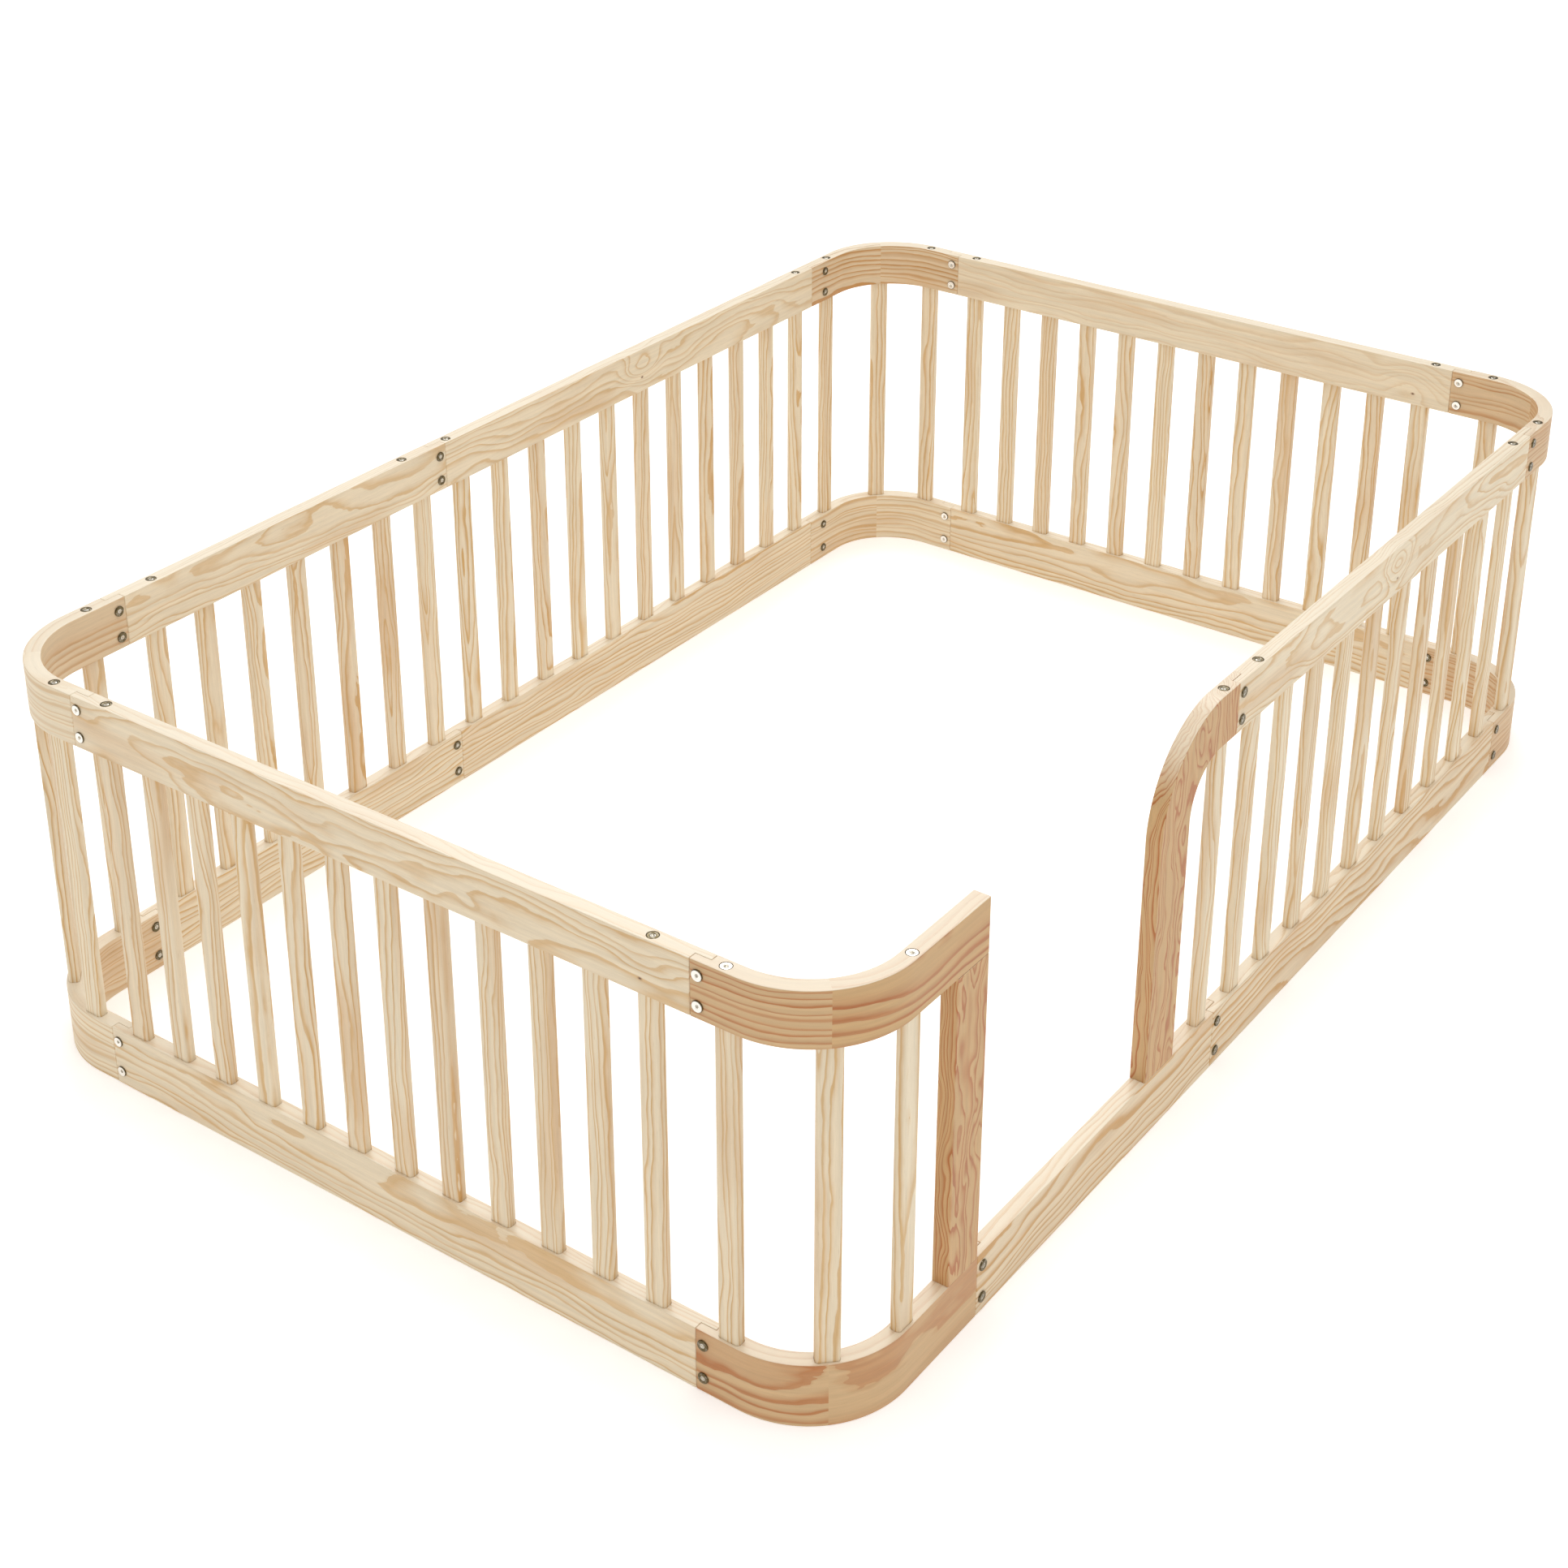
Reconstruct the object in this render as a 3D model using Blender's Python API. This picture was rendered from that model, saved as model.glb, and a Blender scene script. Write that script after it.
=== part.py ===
"""Slatted wooden playpen: a rounded-rectangle fence of pine boards with an open doorway.

Frame: X along the long sides, the doorway side at -Y, +Z up, origin on the floor at the centre.
Every rail is a board on edge. Neighbouring rails meet in upright half-lap joints, the slats stand
in mortises, and two posts frame the doorway. All sizes are in metres.
"""
import math

import bpy
import bmesh
from mathutils import Matrix, Vector

# Overall size
LENGTH = 2.090
WIDTH = 1.372
HEIGHT = 0.600

# Boards
BOARD = 0.023
TOP_RAIL = 0.075
BOTTOM_RAIL = 0.090
CORNER_RADIUS = 0.140
EDGE = 0.0015
GAP = 0.0003
ARC_STEPS = 16

# Slats
SLAT_WIDTH = 0.030
SLAT_THICKNESS = 0.015
SLAT_EDGE = 0.0025
TENON = 0.012

# Doorway posts
END_POST_WIDTH = 0.065
DOOR_POST_WIDTH = 0.075
DOOR_POST_RADIUS = 0.150
DOOR_POST_LEFT = -0.340
POST_TENON_THICKNESS = 0.011
POST_TENON_INSET = 0.010

# Half-lap joints: where the seam shows on the outer face and on the inner face,
# measured along X on the long sides and along Y on the short sides
LEFT_FRONT_LAP = (-0.486, -0.508)
LEFT_BACK_LAP = (0.506, 0.484)
RIGHT_FRONT_LAP = (-0.506, -0.480)
RIGHT_BACK_LAP = (0.507, 0.481)
FRONT_RIGHT_LAP = (0.838, 0.870)
BACK_RIGHT_LAP = (0.869, 0.815)
BACK_MID_LAP = (-0.1955, -0.1695)
BACK_LEFT_LAP = (-0.839, -0.815)
DOOR_LAP = (-0.147, -0.123)
THRESHOLD_LAP = (-0.752, -0.728)
DOORWAY_END = (-0.753, -0.753)

# Slat rows of the straight panels: first centre, pitch, count
LEFT_SLATS = (0.4552, -0.0799, 12)
RIGHT_SLATS = (0.4472, -0.07945, 12)
BACK_LEFT_SLATS = (-0.7591, 0.09034, 7)
BACK_RIGHT_SLATS = (-0.1267, 0.09034, 11)
FRONT_SLATS = (-0.0802, 0.09655, 10)
DOOR_SLAT = -0.1767

# Corners: side signs in X and Y, centre of the long-side slat, centre of the short-side slat
CORNERS = {
    "front_left": (-1, -1, -0.900, -0.530),
    "back_left": (-1, 1, -0.872, 0.549),
    "back_right": (1, 1, 0.875, 0.547),
    "front_right": (1, -1, 0.897, -0.5455),
}

# Joint bolts, pushed in from the outer face through the middle of a half-lap
BOLT_HEAD_RADIUS = 0.0075
BOLT_HEAD_HEIGHT = 0.002
BOLT_RIM = 0.0005
BOLT_SHANK_RADIUS = 0.003
BOLT_LENGTH = 0.020
SOCKET_HALF_WIDTH = 0.002
SOCKET_DEPTH = 0.003
UPPER_BOLT_HEIGHT = 0.582
BOLT_SIDES = 24

PINE = (0.74, 0.56, 0.35)
NICKEL = (0.72, 0.70, 0.66)


def clear_scene():
    for old in list(bpy.data.objects):
        bpy.data.objects.remove(old, do_unlink=True)


def plan_point(side, along, depth):
    """A plan point on one side of the fence, `depth` in from its outer face."""
    if side == "front":
        return Vector((along, depth - WIDTH / 2))
    if side == "back":
        return Vector((along, WIDTH / 2 - depth))
    if side == "left":
        return Vector((depth - LENGTH / 2, along))
    return Vector((LENGTH / 2 - depth, along))


def rail_end(side, lap, direction):
    """The end of a rail from its outer to its inner face; `direction` is the way the end faces."""
    outer = lap[0] - direction * GAP / 2
    inner = lap[1] - direction * GAP / 2
    if outer == inner:
        return [plan_point(side, outer, 0), plan_point(side, inner, BOARD)]
    has_outer_tongue = direction * outer > direction * inner
    seam = BOARD / 2 + (-GAP / 2 if has_outer_tongue else GAP / 2)
    return [
        plan_point(side, outer, 0),
        plan_point(side, outer, seam),
        plan_point(side, inner, seam),
        plan_point(side, inner, BOARD),
    ]


def straight_outline(side, low_lap, high_lap):
    return rail_end(side, high_lap, 1) + rail_end(side, low_lap, -1)[::-1]


def corner_arc(x_sign, y_sign, radius):
    """Points of a quarter circle from the long side round to the short side."""
    centre = Vector((x_sign * (LENGTH / 2 - CORNER_RADIUS), y_sign * (WIDTH / 2 - CORNER_RADIUS)))
    points = []
    for step in range(ARC_STEPS + 1):
        turn = math.pi / 2 * step / ARC_STEPS
        points.append(centre + radius * Vector((x_sign * math.sin(turn), y_sign * math.cos(turn))))
    return points


def corner_outline(x_sign, y_sign, long_lap, short_lap):
    long_side = "front" if y_sign < 0 else "back"
    short_side = "left" if x_sign < 0 else "right"
    long_end = rail_end(long_side, long_lap, -x_sign)[::-1]
    short_end = rail_end(short_side, short_lap, -y_sign)
    outer_arc = corner_arc(x_sign, y_sign, CORNER_RADIUS)
    inner_arc = corner_arc(x_sign, y_sign, CORNER_RADIUS - BOARD)
    return long_end + outer_arc + short_end + inner_arc[::-1]


def inset_outline(points, amount):
    """A closed outline moved inwards by `amount`, corner by corner."""
    area = sum(a.cross(b) for a, b in zip(points, points[1:] + points[:1]))
    inward = 1 if area > 0 else -1
    moved = []
    for index, point in enumerate(points):
        arriving = (point - points[index - 1]).normalized()
        leaving = (points[(index + 1) % len(points)] - point).normalized()
        normal_in = Vector((-arriving.y, arriving.x))
        normal_out = Vector((-leaving.y, leaving.x))
        mitre = normal_in + normal_out
        moved.append(point + inward * amount * mitre * 2 / mitre.length_squared)
    return moved


def cut_corners(points, amount):
    """An outline with each corner replaced by a short cut across it."""
    cut = []
    for index, point in enumerate(points):
        before = (points[index - 1] - point).normalized()
        after = (points[(index + 1) % len(points)] - point).normalized()
        cut += [point + before * amount, point + after * amount]
    return cut


def extrude_outline(outline, low, high, edge, to_space):
    """A solid from a closed outline, with both end faces' edges cut back by `edge`."""
    bm = bmesh.new()
    levels = [(low, outline), (high, outline)]
    if edge > 0:
        shrunk = inset_outline(outline, edge)
        levels = [(low, shrunk), (low + edge, outline), (high - edge, outline), (high, shrunk)]
    loops = [[bm.verts.new(to_space(point, height)) for point in loop] for height, loop in levels]
    for lower, upper in zip(loops, loops[1:]):
        for index in range(len(lower)):
            after = (index + 1) % len(lower)
            bm.faces.new((lower[index], lower[after], upper[after], upper[index]))
    bm.faces.new(loops[0])
    bm.faces.new(loops[-1])
    bmesh.ops.recalc_face_normals(bm, faces=bm.faces)
    return bm


def upright(point, height):
    return Vector((point.x, point.y, height))


def facing_front(point, depth):
    """Maps an outline drawn in X and Z to a board standing in the doorway side."""
    return Vector((point.x, depth - WIDTH / 2, point.y))


def slat_solid(clearance=0):
    """One slat with its tenons, standing on the origin's axis: a bar with its long edges cut off."""
    half_width = SLAT_WIDTH / 2 + clearance
    half_thickness = SLAT_THICKNESS / 2 + clearance
    quarter = [
        Vector((half_width, half_thickness - SLAT_EDGE)),
        Vector((half_width - SLAT_EDGE, half_thickness)),
    ]
    half = quarter + [Vector((-point.x, point.y)) for point in quarter[::-1]]
    section = half + [-point for point in half]
    low = BOTTOM_RAIL - TENON - clearance
    high = HEIGHT - TOP_RAIL + TENON + clearance
    return extrude_outline(section, low, high, 0, upright)


def placed_slats(places, clearance=0):
    """Slat solids standing at each place, as separate bodies in one mesh."""
    solids = []
    for centre, angle in places:
        solid = slat_solid(clearance)
        placing = Matrix.Translation((centre.x, centre.y, 0)) @ Matrix.Rotation(angle, 4, "Z")
        bmesh.ops.transform(solid, matrix=placing, verts=solid.verts)
        solids.append(solid)
    return merge_solids(solids)


def merge_solids(solids):
    """One bmesh holding several separate closed solids."""
    merged = bmesh.new()
    for solid in solids:
        mesh = bpy.data.meshes.new("merge_step")
        solid.to_mesh(mesh)
        solid.free()
        merged.from_mesh(mesh)
        bpy.data.meshes.remove(mesh)
    return merged


def add_object(name, bm):
    mesh = bpy.data.meshes.new(name)
    bm.to_mesh(mesh)
    bm.free()
    item = bpy.data.objects.new(name, mesh)
    bpy.context.scene.collection.objects.link(item)
    return item


def add_tool(name, bm):
    """A helper solid for a Boolean, kept out of the finished object."""
    tool = add_object(name, bm)
    tool.display_type = "WIRE"
    tool.hide_render = True
    return tool


def add_boolean(item, tool, operation):
    modifier = item.modifiers.new(tool.name, "BOOLEAN")
    modifier.operation = operation
    modifier.object = tool
    modifier.solver = "EXACT"


def give_nickel(item):
    material = bpy.data.materials.new(item.name)
    material.use_nodes = True
    shader = material.node_tree.nodes["Principled BSDF"]
    shader.inputs["Base Color"].default_value = (*NICKEL, 1)
    shader.inputs["Roughness"].default_value = 0.25
    shader.inputs["Metallic"].default_value = 1
    item.data.materials.append(material)


def give_pine(item, number):
    """Each board gets its own pine, a little lighter or redder than its neighbour's."""
    shade = 1 + 0.05 * math.sin(2.4 * number)
    warmth = 1 + 0.03 * math.sin(1.7 * number + 1)
    material = bpy.data.materials.new(item.name)
    material.use_nodes = True
    shader = material.node_tree.nodes["Principled BSDF"]
    colour = (PINE[0] * shade * warmth, PINE[1] * shade, PINE[2] * shade / warmth, 1)
    shader.inputs["Base Color"].default_value = colour
    shader.inputs["Roughness"].default_value = 0.55
    shader.inputs["Metallic"].default_value = 0
    item.data.materials.append(material)


def row_centres(row):
    first, pitch, count = row
    return [first + pitch * index for index in range(count)]


def straight_places(side, centres):
    angle = 0 if side in ("front", "back") else math.pi / 2
    return [(plan_point(side, along, BOARD / 2), angle) for along in centres]


def corner_places(x_sign, y_sign, long_slat, short_slat):
    """A corner's three slats: one on each straight arm and one halfway round the curve."""
    long_side = "front" if y_sign < 0 else "back"
    short_side = "left" if x_sign < 0 else "right"
    arc = corner_arc(x_sign, y_sign, CORNER_RADIUS - BOARD / 2)
    middle = (arc[ARC_STEPS // 2], math.atan2(-x_sign, y_sign))
    return straight_places(long_side, [long_slat]) + [middle] + straight_places(short_side, [short_slat])


def cut_mortises(item, places):
    tool = add_tool(item.name + "_mortises", placed_slats(places, GAP))
    add_boolean(item, tool, "DIFFERENCE")


def top_rail(name, outline, places):
    item = add_object(name, extrude_outline(outline, HEIGHT - TOP_RAIL, HEIGHT, EDGE, upright))
    cut_mortises(item, places)
    return item


def bottom_rail(name, outline, places):
    item = add_object(name, extrude_outline(outline, 0, BOTTOM_RAIL, EDGE, upright))
    if places:
        cut_mortises(item, places)
    return item


def comb(name, outline, places):
    """A bottom rail with its row of slats glued in as one piece."""
    item = bottom_rail(name, outline, [])
    tool = add_tool(name + "_slats", placed_slats(places))
    add_boolean(item, tool, "UNION")
    return item


def build_slats(prefix, places):
    slats = []
    for number, (centre, angle) in enumerate(places, start=1):
        slat = add_object(f"{prefix}_{number:02d}", slat_solid())
        slat.location = (centre.x, centre.y, 0)
        slat.rotation_euler.z = angle
        slats.append(slat)
    return slats


def front_box(x_low, x_high, depth_low, depth_high, z_low, z_high):
    """A box in the doorway side; its depths are measured in from the outer face."""
    corners = ((x_low, z_low), (x_high, z_low), (x_high, z_high), (x_low, z_high))
    outline = [Vector(corner) for corner in corners]
    return extrude_outline(outline, depth_low, depth_high, 0, facing_front)


def post_tenon(x_low, x_high, z_low, z_high, clearance):
    inset = POST_TENON_INSET - clearance
    half = POST_TENON_THICKNESS / 2 + clearance
    return front_box(x_low + inset, x_high - inset, BOARD / 2 - half, BOARD / 2 + half, z_low, z_high)


def end_post():
    """The upright board that closes the doorway's left side, tenoned into both corner rails."""
    right = DOORWAY_END[0]
    left = right - END_POST_WIDTH
    foot = BOTTOM_RAIL + GAP
    head = HEIGHT - TOP_RAIL - GAP
    section = [plan_point("front", left, 0), plan_point("front", right, 0),
               plan_point("front", right, BOARD), plan_point("front", left, BOARD)]
    rounded = cut_corners(section, EDGE)
    item = add_object("end_post", extrude_outline(rounded, foot, head, 0, upright))
    tenon = post_tenon(left, right, BOTTOM_RAIL - TENON, HEIGHT - TOP_RAIL + TENON, 0)
    add_boolean(item, add_tool("end_post_tenons", tenon), "UNION")
    return item


def door_post():
    """The post that rises from the threshold and curves over into the front top rail."""
    bend = Vector((DOOR_POST_LEFT + DOOR_POST_RADIUS, HEIGHT - DOOR_POST_RADIUS))
    inner_radius = DOOR_POST_RADIUS - DOOR_POST_WIDTH
    turns = [math.pi / 2 * step / ARC_STEPS for step in range(ARC_STEPS + 1)]
    outer = [bend + DOOR_POST_RADIUS * Vector((-math.cos(turn), math.sin(turn))) for turn in turns]
    inner = [bend + inner_radius * Vector((-math.cos(turn), math.sin(turn))) for turn in turns]
    foot = BOTTOM_RAIL + GAP
    right = DOOR_POST_LEFT + DOOR_POST_WIDTH
    tip = DOOR_LAP[1] - GAP / 2
    outline = [Vector((DOOR_POST_LEFT, foot))] + outer
    outline += [Vector((tip, HEIGHT)), Vector((tip, HEIGHT - TOP_RAIL))]
    outline += inner[::-1] + [Vector((right, foot))]
    item = add_object("door_post", extrude_outline(outline, 0, BOARD, EDGE, facing_front))
    tenon = post_tenon(DOOR_POST_LEFT, right, BOTTOM_RAIL - TENON, foot + TENON, 0)
    add_boolean(item, add_tool("door_post_tenon", tenon), "UNION")
    seam = BOARD / 2 + GAP / 2
    shoulder = DOOR_LAP[0] - GAP / 2
    lap = front_box(shoulder, tip + BOARD, -BOARD, seam, HEIGHT - 2 * TOP_RAIL, HEIGHT + BOARD)
    add_boolean(item, add_tool("door_post_lap", lap), "DIFFERENCE")
    cut_mortises(item, straight_places("front", [DOOR_SLAT]))
    return item


def turned_solid(rings):
    """A closed solid about +Z from rings of (radius, height); a negative radius means a hexagon."""
    bm = bmesh.new()
    loops = []
    for radius, height in rings:
        loop = []
        for step in range(BOLT_SIDES):
            turn = 2 * math.pi * step / BOLT_SIDES
            reach = radius
            if radius < 0:
                reach = -radius / math.cos(turn % (math.pi / 3) - math.pi / 6)
            loop.append(bm.verts.new((reach * math.cos(turn), reach * math.sin(turn), height)))
        loops.append(loop)
    for lower, upper in zip(loops, loops[1:]):
        for index in range(BOLT_SIDES):
            after = (index + 1) % BOLT_SIDES
            bm.faces.new((lower[index], lower[after], upper[after], upper[index]))
    bm.faces.new(loops[0])
    bm.faces.new(loops[-1])
    bmesh.ops.recalc_face_normals(bm, faces=bm.faces)
    return bm


def bolt_placing(side, along):
    """Turns +Z to the side's outward direction, with the origin on its outer face."""
    outward = plan_point(side, 0, 0) - plan_point(side, 0, BOARD)
    spot = plan_point(side, along, 0)
    turn = Vector((0, 0, 1)).rotation_difference(Vector((outward.x, outward.y, 0)))
    return Matrix.Translation((spot.x, spot.y, UPPER_BOLT_HEIGHT)) @ turn.to_matrix().to_4x4()


def add_joint_bolt(side, lap, rails):
    """The upper bolt of one top-rail joint, and its hole through both rails' tongues."""
    along = sum(lap) / 2
    placing = bolt_placing(side, along)
    top = GAP + BOLT_HEAD_HEIGHT
    bolt = add_object("joint_bolt_" + side, turned_solid([
        (BOLT_SHANK_RADIUS, -BOLT_LENGTH),
        (BOLT_SHANK_RADIUS, GAP),
        (BOLT_HEAD_RADIUS, GAP),
        (BOLT_HEAD_RADIUS, top - BOLT_RIM),
        (BOLT_HEAD_RADIUS - BOLT_RIM, top),
        (-SOCKET_HALF_WIDTH, top),
        (-SOCKET_HALF_WIDTH, top - SOCKET_DEPTH),
    ]))
    bolt.matrix_world = placing
    bolt.data.shade_smooth()
    bolt.data.set_sharp_from_angle(angle=math.radians(30))
    give_nickel(bolt)
    hole = turned_solid([(BOLT_SHANK_RADIUS + GAP, -2 * BOARD), (BOLT_SHANK_RADIUS + GAP, BOARD)])
    tool = add_tool("bolt_hole_" + side, hole)
    tool.matrix_world = placing
    for rail in rails:
        add_boolean(rail, tool, "DIFFERENCE")


def build_corners():
    laps = {
        "front_left": (THRESHOLD_LAP, LEFT_FRONT_LAP),
        "back_left": (BACK_LEFT_LAP, LEFT_BACK_LAP),
        "back_right": (BACK_RIGHT_LAP, RIGHT_BACK_LAP),
        "front_right": (FRONT_RIGHT_LAP, RIGHT_FRONT_LAP),
    }
    pieces = {}
    for corner, (x_sign, y_sign, long_slat, short_slat) in CORNERS.items():
        long_lap, short_lap = laps[corner]
        top_lap = DOORWAY_END if corner == "front_left" else long_lap
        places = corner_places(x_sign, y_sign, long_slat, short_slat)
        top = corner_outline(x_sign, y_sign, top_lap, short_lap)
        bottom = corner_outline(x_sign, y_sign, long_lap, short_lap)
        pieces["top_" + corner] = top_rail("corner_top_" + corner, top, places)
        pieces["bottom_" + corner] = bottom_rail("corner_bottom_" + corner, bottom, places)
        for slat in build_slats("slat_" + corner, places):
            pieces[slat.name] = slat
    return pieces


def cut_end_post_mortises(top_corner, bottom_corner):
    right = DOORWAY_END[0]
    left = right - END_POST_WIDTH
    low = BOTTOM_RAIL - TENON - GAP
    high = HEIGHT - TOP_RAIL + TENON + GAP
    tool = add_tool("end_post_mortises", post_tenon(left, right, low, high, GAP))
    add_boolean(top_corner, tool, "DIFFERENCE")
    add_boolean(bottom_corner, tool, "DIFFERENCE")


def threshold():
    """The bottom rail across the doorway, which also carries the door post and the first slat."""
    outline = straight_outline("front", THRESHOLD_LAP, DOOR_LAP)
    item = bottom_rail("threshold", outline, straight_places("front", [DOOR_SLAT]))
    right = DOOR_POST_LEFT + DOOR_POST_WIDTH
    mortise = post_tenon(DOOR_POST_LEFT, right, BOTTOM_RAIL - TENON - GAP, BOTTOM_RAIL + GAP, GAP)
    add_boolean(item, add_tool("door_post_mortise", mortise), "DIFFERENCE")
    return item


def build_left_side():
    outline = straight_outline("left", LEFT_FRONT_LAP, LEFT_BACK_LAP)
    places = straight_places("left", row_centres(LEFT_SLATS))
    rails = [top_rail("rail_top_left", outline, places), bottom_rail("rail_bottom_left", outline, places)]
    return rails + build_slats("slat_left", places)


def build_front_side():
    outline = straight_outline("front", DOOR_LAP, FRONT_RIGHT_LAP)
    places = straight_places("front", row_centres(FRONT_SLATS))
    rails = [top_rail("rail_top_front", outline, places), bottom_rail("rail_bottom_front", outline, places)]
    door = [threshold(), door_post(), end_post()]
    door_slat = straight_places("front", [DOOR_SLAT])
    return rails + door + build_slats("slat_front", door_slat + places)


def build_glued_panel(name, side, low_lap, high_lap, row):
    """A panel whose slats and bottom rail are one glued comb under a separate top rail."""
    outline = straight_outline(side, low_lap, high_lap)
    places = straight_places(side, row_centres(row))
    return [top_rail("rail_top_" + name, outline, places), comb("comb_" + name, outline, places)]


def build_back_right():
    """The long back panel, whose tongue at the corner reaches under the corner's first slat."""
    rails = build_glued_panel("back_right", "back", BACK_MID_LAP, BACK_RIGHT_LAP, BACK_RIGHT_SLATS)
    corner_slat = straight_places("back", [CORNERS["back_right"][2]])
    for rail in rails:
        cut_mortises(rail, corner_slat)
    return rails


def main():
    clear_scene()
    corners = build_corners()
    cut_end_post_mortises(corners["top_front_left"], corners["bottom_front_left"])
    pieces = list(corners.values())
    pieces += build_left_side()
    pieces += build_front_side()
    pieces += build_glued_panel("right", "right", RIGHT_FRONT_LAP, RIGHT_BACK_LAP, RIGHT_SLATS)
    pieces += build_glued_panel("back_left", "back", BACK_LEFT_LAP, BACK_MID_LAP, BACK_LEFT_SLATS)
    pieces += build_back_right()
    for number, piece in enumerate(pieces):
        give_pine(piece, number)
    boards = {piece.name: piece for piece in pieces}
    joints = [
        ("left", LEFT_FRONT_LAP, "corner_top_front_left", "rail_top_left"),
        ("right", RIGHT_FRONT_LAP, "corner_top_front_right", "rail_top_right"),
        ("back", BACK_MID_LAP, "rail_top_back_left", "rail_top_back_right"),
        ("front", DOOR_LAP, "door_post", "rail_top_front"),
    ]
    for side, lap, first, second in joints:
        add_joint_bolt(side, lap, [boards[first], boards[second]])


main()
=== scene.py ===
"""Looks of a slatted pine playpen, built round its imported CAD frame.

Every board is rebuilt with eased edges, real mortises and solid growth-ring pine, so that the
grain runs through each board along its own length and shows as end grain where the board is cut.
Nickel bolts with sleeve nuts close the half-lap joints, and screws hold the top rails to the slats.
"""

import math
import random
from collections import namedtuple

import bpy
import bmesh
from mathutils import Matrix, Vector


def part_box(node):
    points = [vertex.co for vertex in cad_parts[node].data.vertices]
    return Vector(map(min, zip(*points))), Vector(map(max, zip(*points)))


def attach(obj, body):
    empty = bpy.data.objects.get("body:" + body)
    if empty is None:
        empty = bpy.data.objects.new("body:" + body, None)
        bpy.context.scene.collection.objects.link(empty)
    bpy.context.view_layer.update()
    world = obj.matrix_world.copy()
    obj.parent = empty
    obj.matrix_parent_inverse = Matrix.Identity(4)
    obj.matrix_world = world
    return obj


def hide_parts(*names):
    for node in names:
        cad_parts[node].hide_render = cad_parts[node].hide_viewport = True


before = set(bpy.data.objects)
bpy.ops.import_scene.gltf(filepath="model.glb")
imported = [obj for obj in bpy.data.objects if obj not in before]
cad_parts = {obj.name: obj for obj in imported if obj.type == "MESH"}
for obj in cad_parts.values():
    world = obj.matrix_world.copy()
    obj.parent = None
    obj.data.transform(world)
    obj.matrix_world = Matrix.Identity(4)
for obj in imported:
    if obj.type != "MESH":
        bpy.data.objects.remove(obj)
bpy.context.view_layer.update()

# Boards, read from the frame
LEFT_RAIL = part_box("rail_top_left")
BOARD = LEFT_RAIL[1].x - LEFT_RAIL[0].x
HALF_LENGTH = -LEFT_RAIL[0].x
HALF_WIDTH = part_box("rail_top_back_left")[1].y
HEIGHT = LEFT_RAIL[1].z
TOP_RAIL_LOW = LEFT_RAIL[0].z
BOTTOM_RAIL_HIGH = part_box("rail_bottom_left")[1].z
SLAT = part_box("slat_left_01")
SLAT_WIDTH = SLAT[1].y - SLAT[0].y
SLAT_THICKNESS = SLAT[1].x - SLAT[0].x
DOOR_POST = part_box("door_post")
END_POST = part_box("end_post")

# Sizes that the boxes don't show
CORNER_RADIUS = 0.140
DOOR_POST_RADIUS = 0.150
DOOR_POST_WIDTH = 0.075
POST_TENON_THICKNESS = 0.011
POST_TENON_INSET = 0.010
GAP = 0.0003

# Eased edges
EDGE = 0.0010
EDGE_STEPS = 3
JOINT_ARRIS = 0.0009
SLAT_ROUND = 0.0042
SLAT_ROUND_STEPS = 5
ARC_STEPS = 32

# Slats that the frame holds as one comb with their rail: side, first centre, pitch, count
COMB_SLATS = {
    "comb_right": ("right", 0.4472, -0.07945, 12),
    "comb_back_left": ("back", -0.7591, 0.09034, 7),
    "comb_back_right": ("back", -0.1267, 0.09034, 11),
}

# Fasteners. A head's rim is rounded in two steps, and its dish falls in three to the socket
HEAD_RADIUS = 0.0076
HEAD_HEIGHT = 0.0020
RIM_WIDTH = 0.0011
RIM_DEPTH = 0.0010
RIM_MIDDLE = (0.0003, 0.0004)
DISH_RADII = (0.0042, 0.0034)
DISH_DEPTHS = (0.0001, 0.0006, 0.0008)
SOCKET_RADIUS = 0.0022
SOCKET_DEPTH = 0.0034
BOLT_RADIUS = 0.0030
BOLT_LENGTH = 0.0176
BOLT_CHAMFER = 0.0006
SLEEVE_RADIUS = 0.0042
SLEEVE_LENGTH = 0.0140
SLEEVE_FLOOR = 0.0036
# Radii of bright metal: a centre on every head, and painted light over heads that face the light
BRIGHT_CENTRE_RADIUS = 0.0030
PAINTED_LIT_HEAD_RADIUS = 0.0070
TOP_BOLT_HEIGHTS = (0.582, 0.542)
BOTTOM_BOLT_HEIGHTS = (0.070, 0.0215)
BACK_RIGHT_BOLT_SHIFT = 0.0134
SCREW_RADIUS = 0.0025
SCREW_LENGTH = 0.034
SCREW_POINT_LENGTH = 0.006
SCREW_POINT_RADIUS = 0.0006
TURNED_SIDES = 24
COUNTERBORE_SIDES = 32
RAIL_SCREWS = {
    "left": (0.5488, 0.4503, -0.4279, -0.5273),
    "right": (-0.5455, -0.4463, 0.4483, 0.547),
    "back": (-0.8722, -0.7568, -0.2548, -0.1559, 0.7778, 0.8754),
    "front": (-0.8964, -0.1713, -0.0746, 0.7947, 0.8968),
}

rng = random.Random(11)


# ---------------------------------------------------------------- plan of the fence

SIDES = {
    "front": (Vector((0, -HALF_WIDTH)), Vector((1, 0)), Vector((0, 1))),
    "back": (Vector((0, HALF_WIDTH)), Vector((1, 0)), Vector((0, -1))),
    "left": (Vector((-HALF_LENGTH, 0)), Vector((0, 1)), Vector((1, 0))),
    "right": (Vector((HALF_LENGTH, 0)), Vector((0, 1)), Vector((-1, 0))),
}


def plan_point(side, along, depth):
    """A plan point on one side of the fence, `depth` in from its outer face."""
    start, run, inward = SIDES[side]
    return start + along * run + depth * inward


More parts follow.
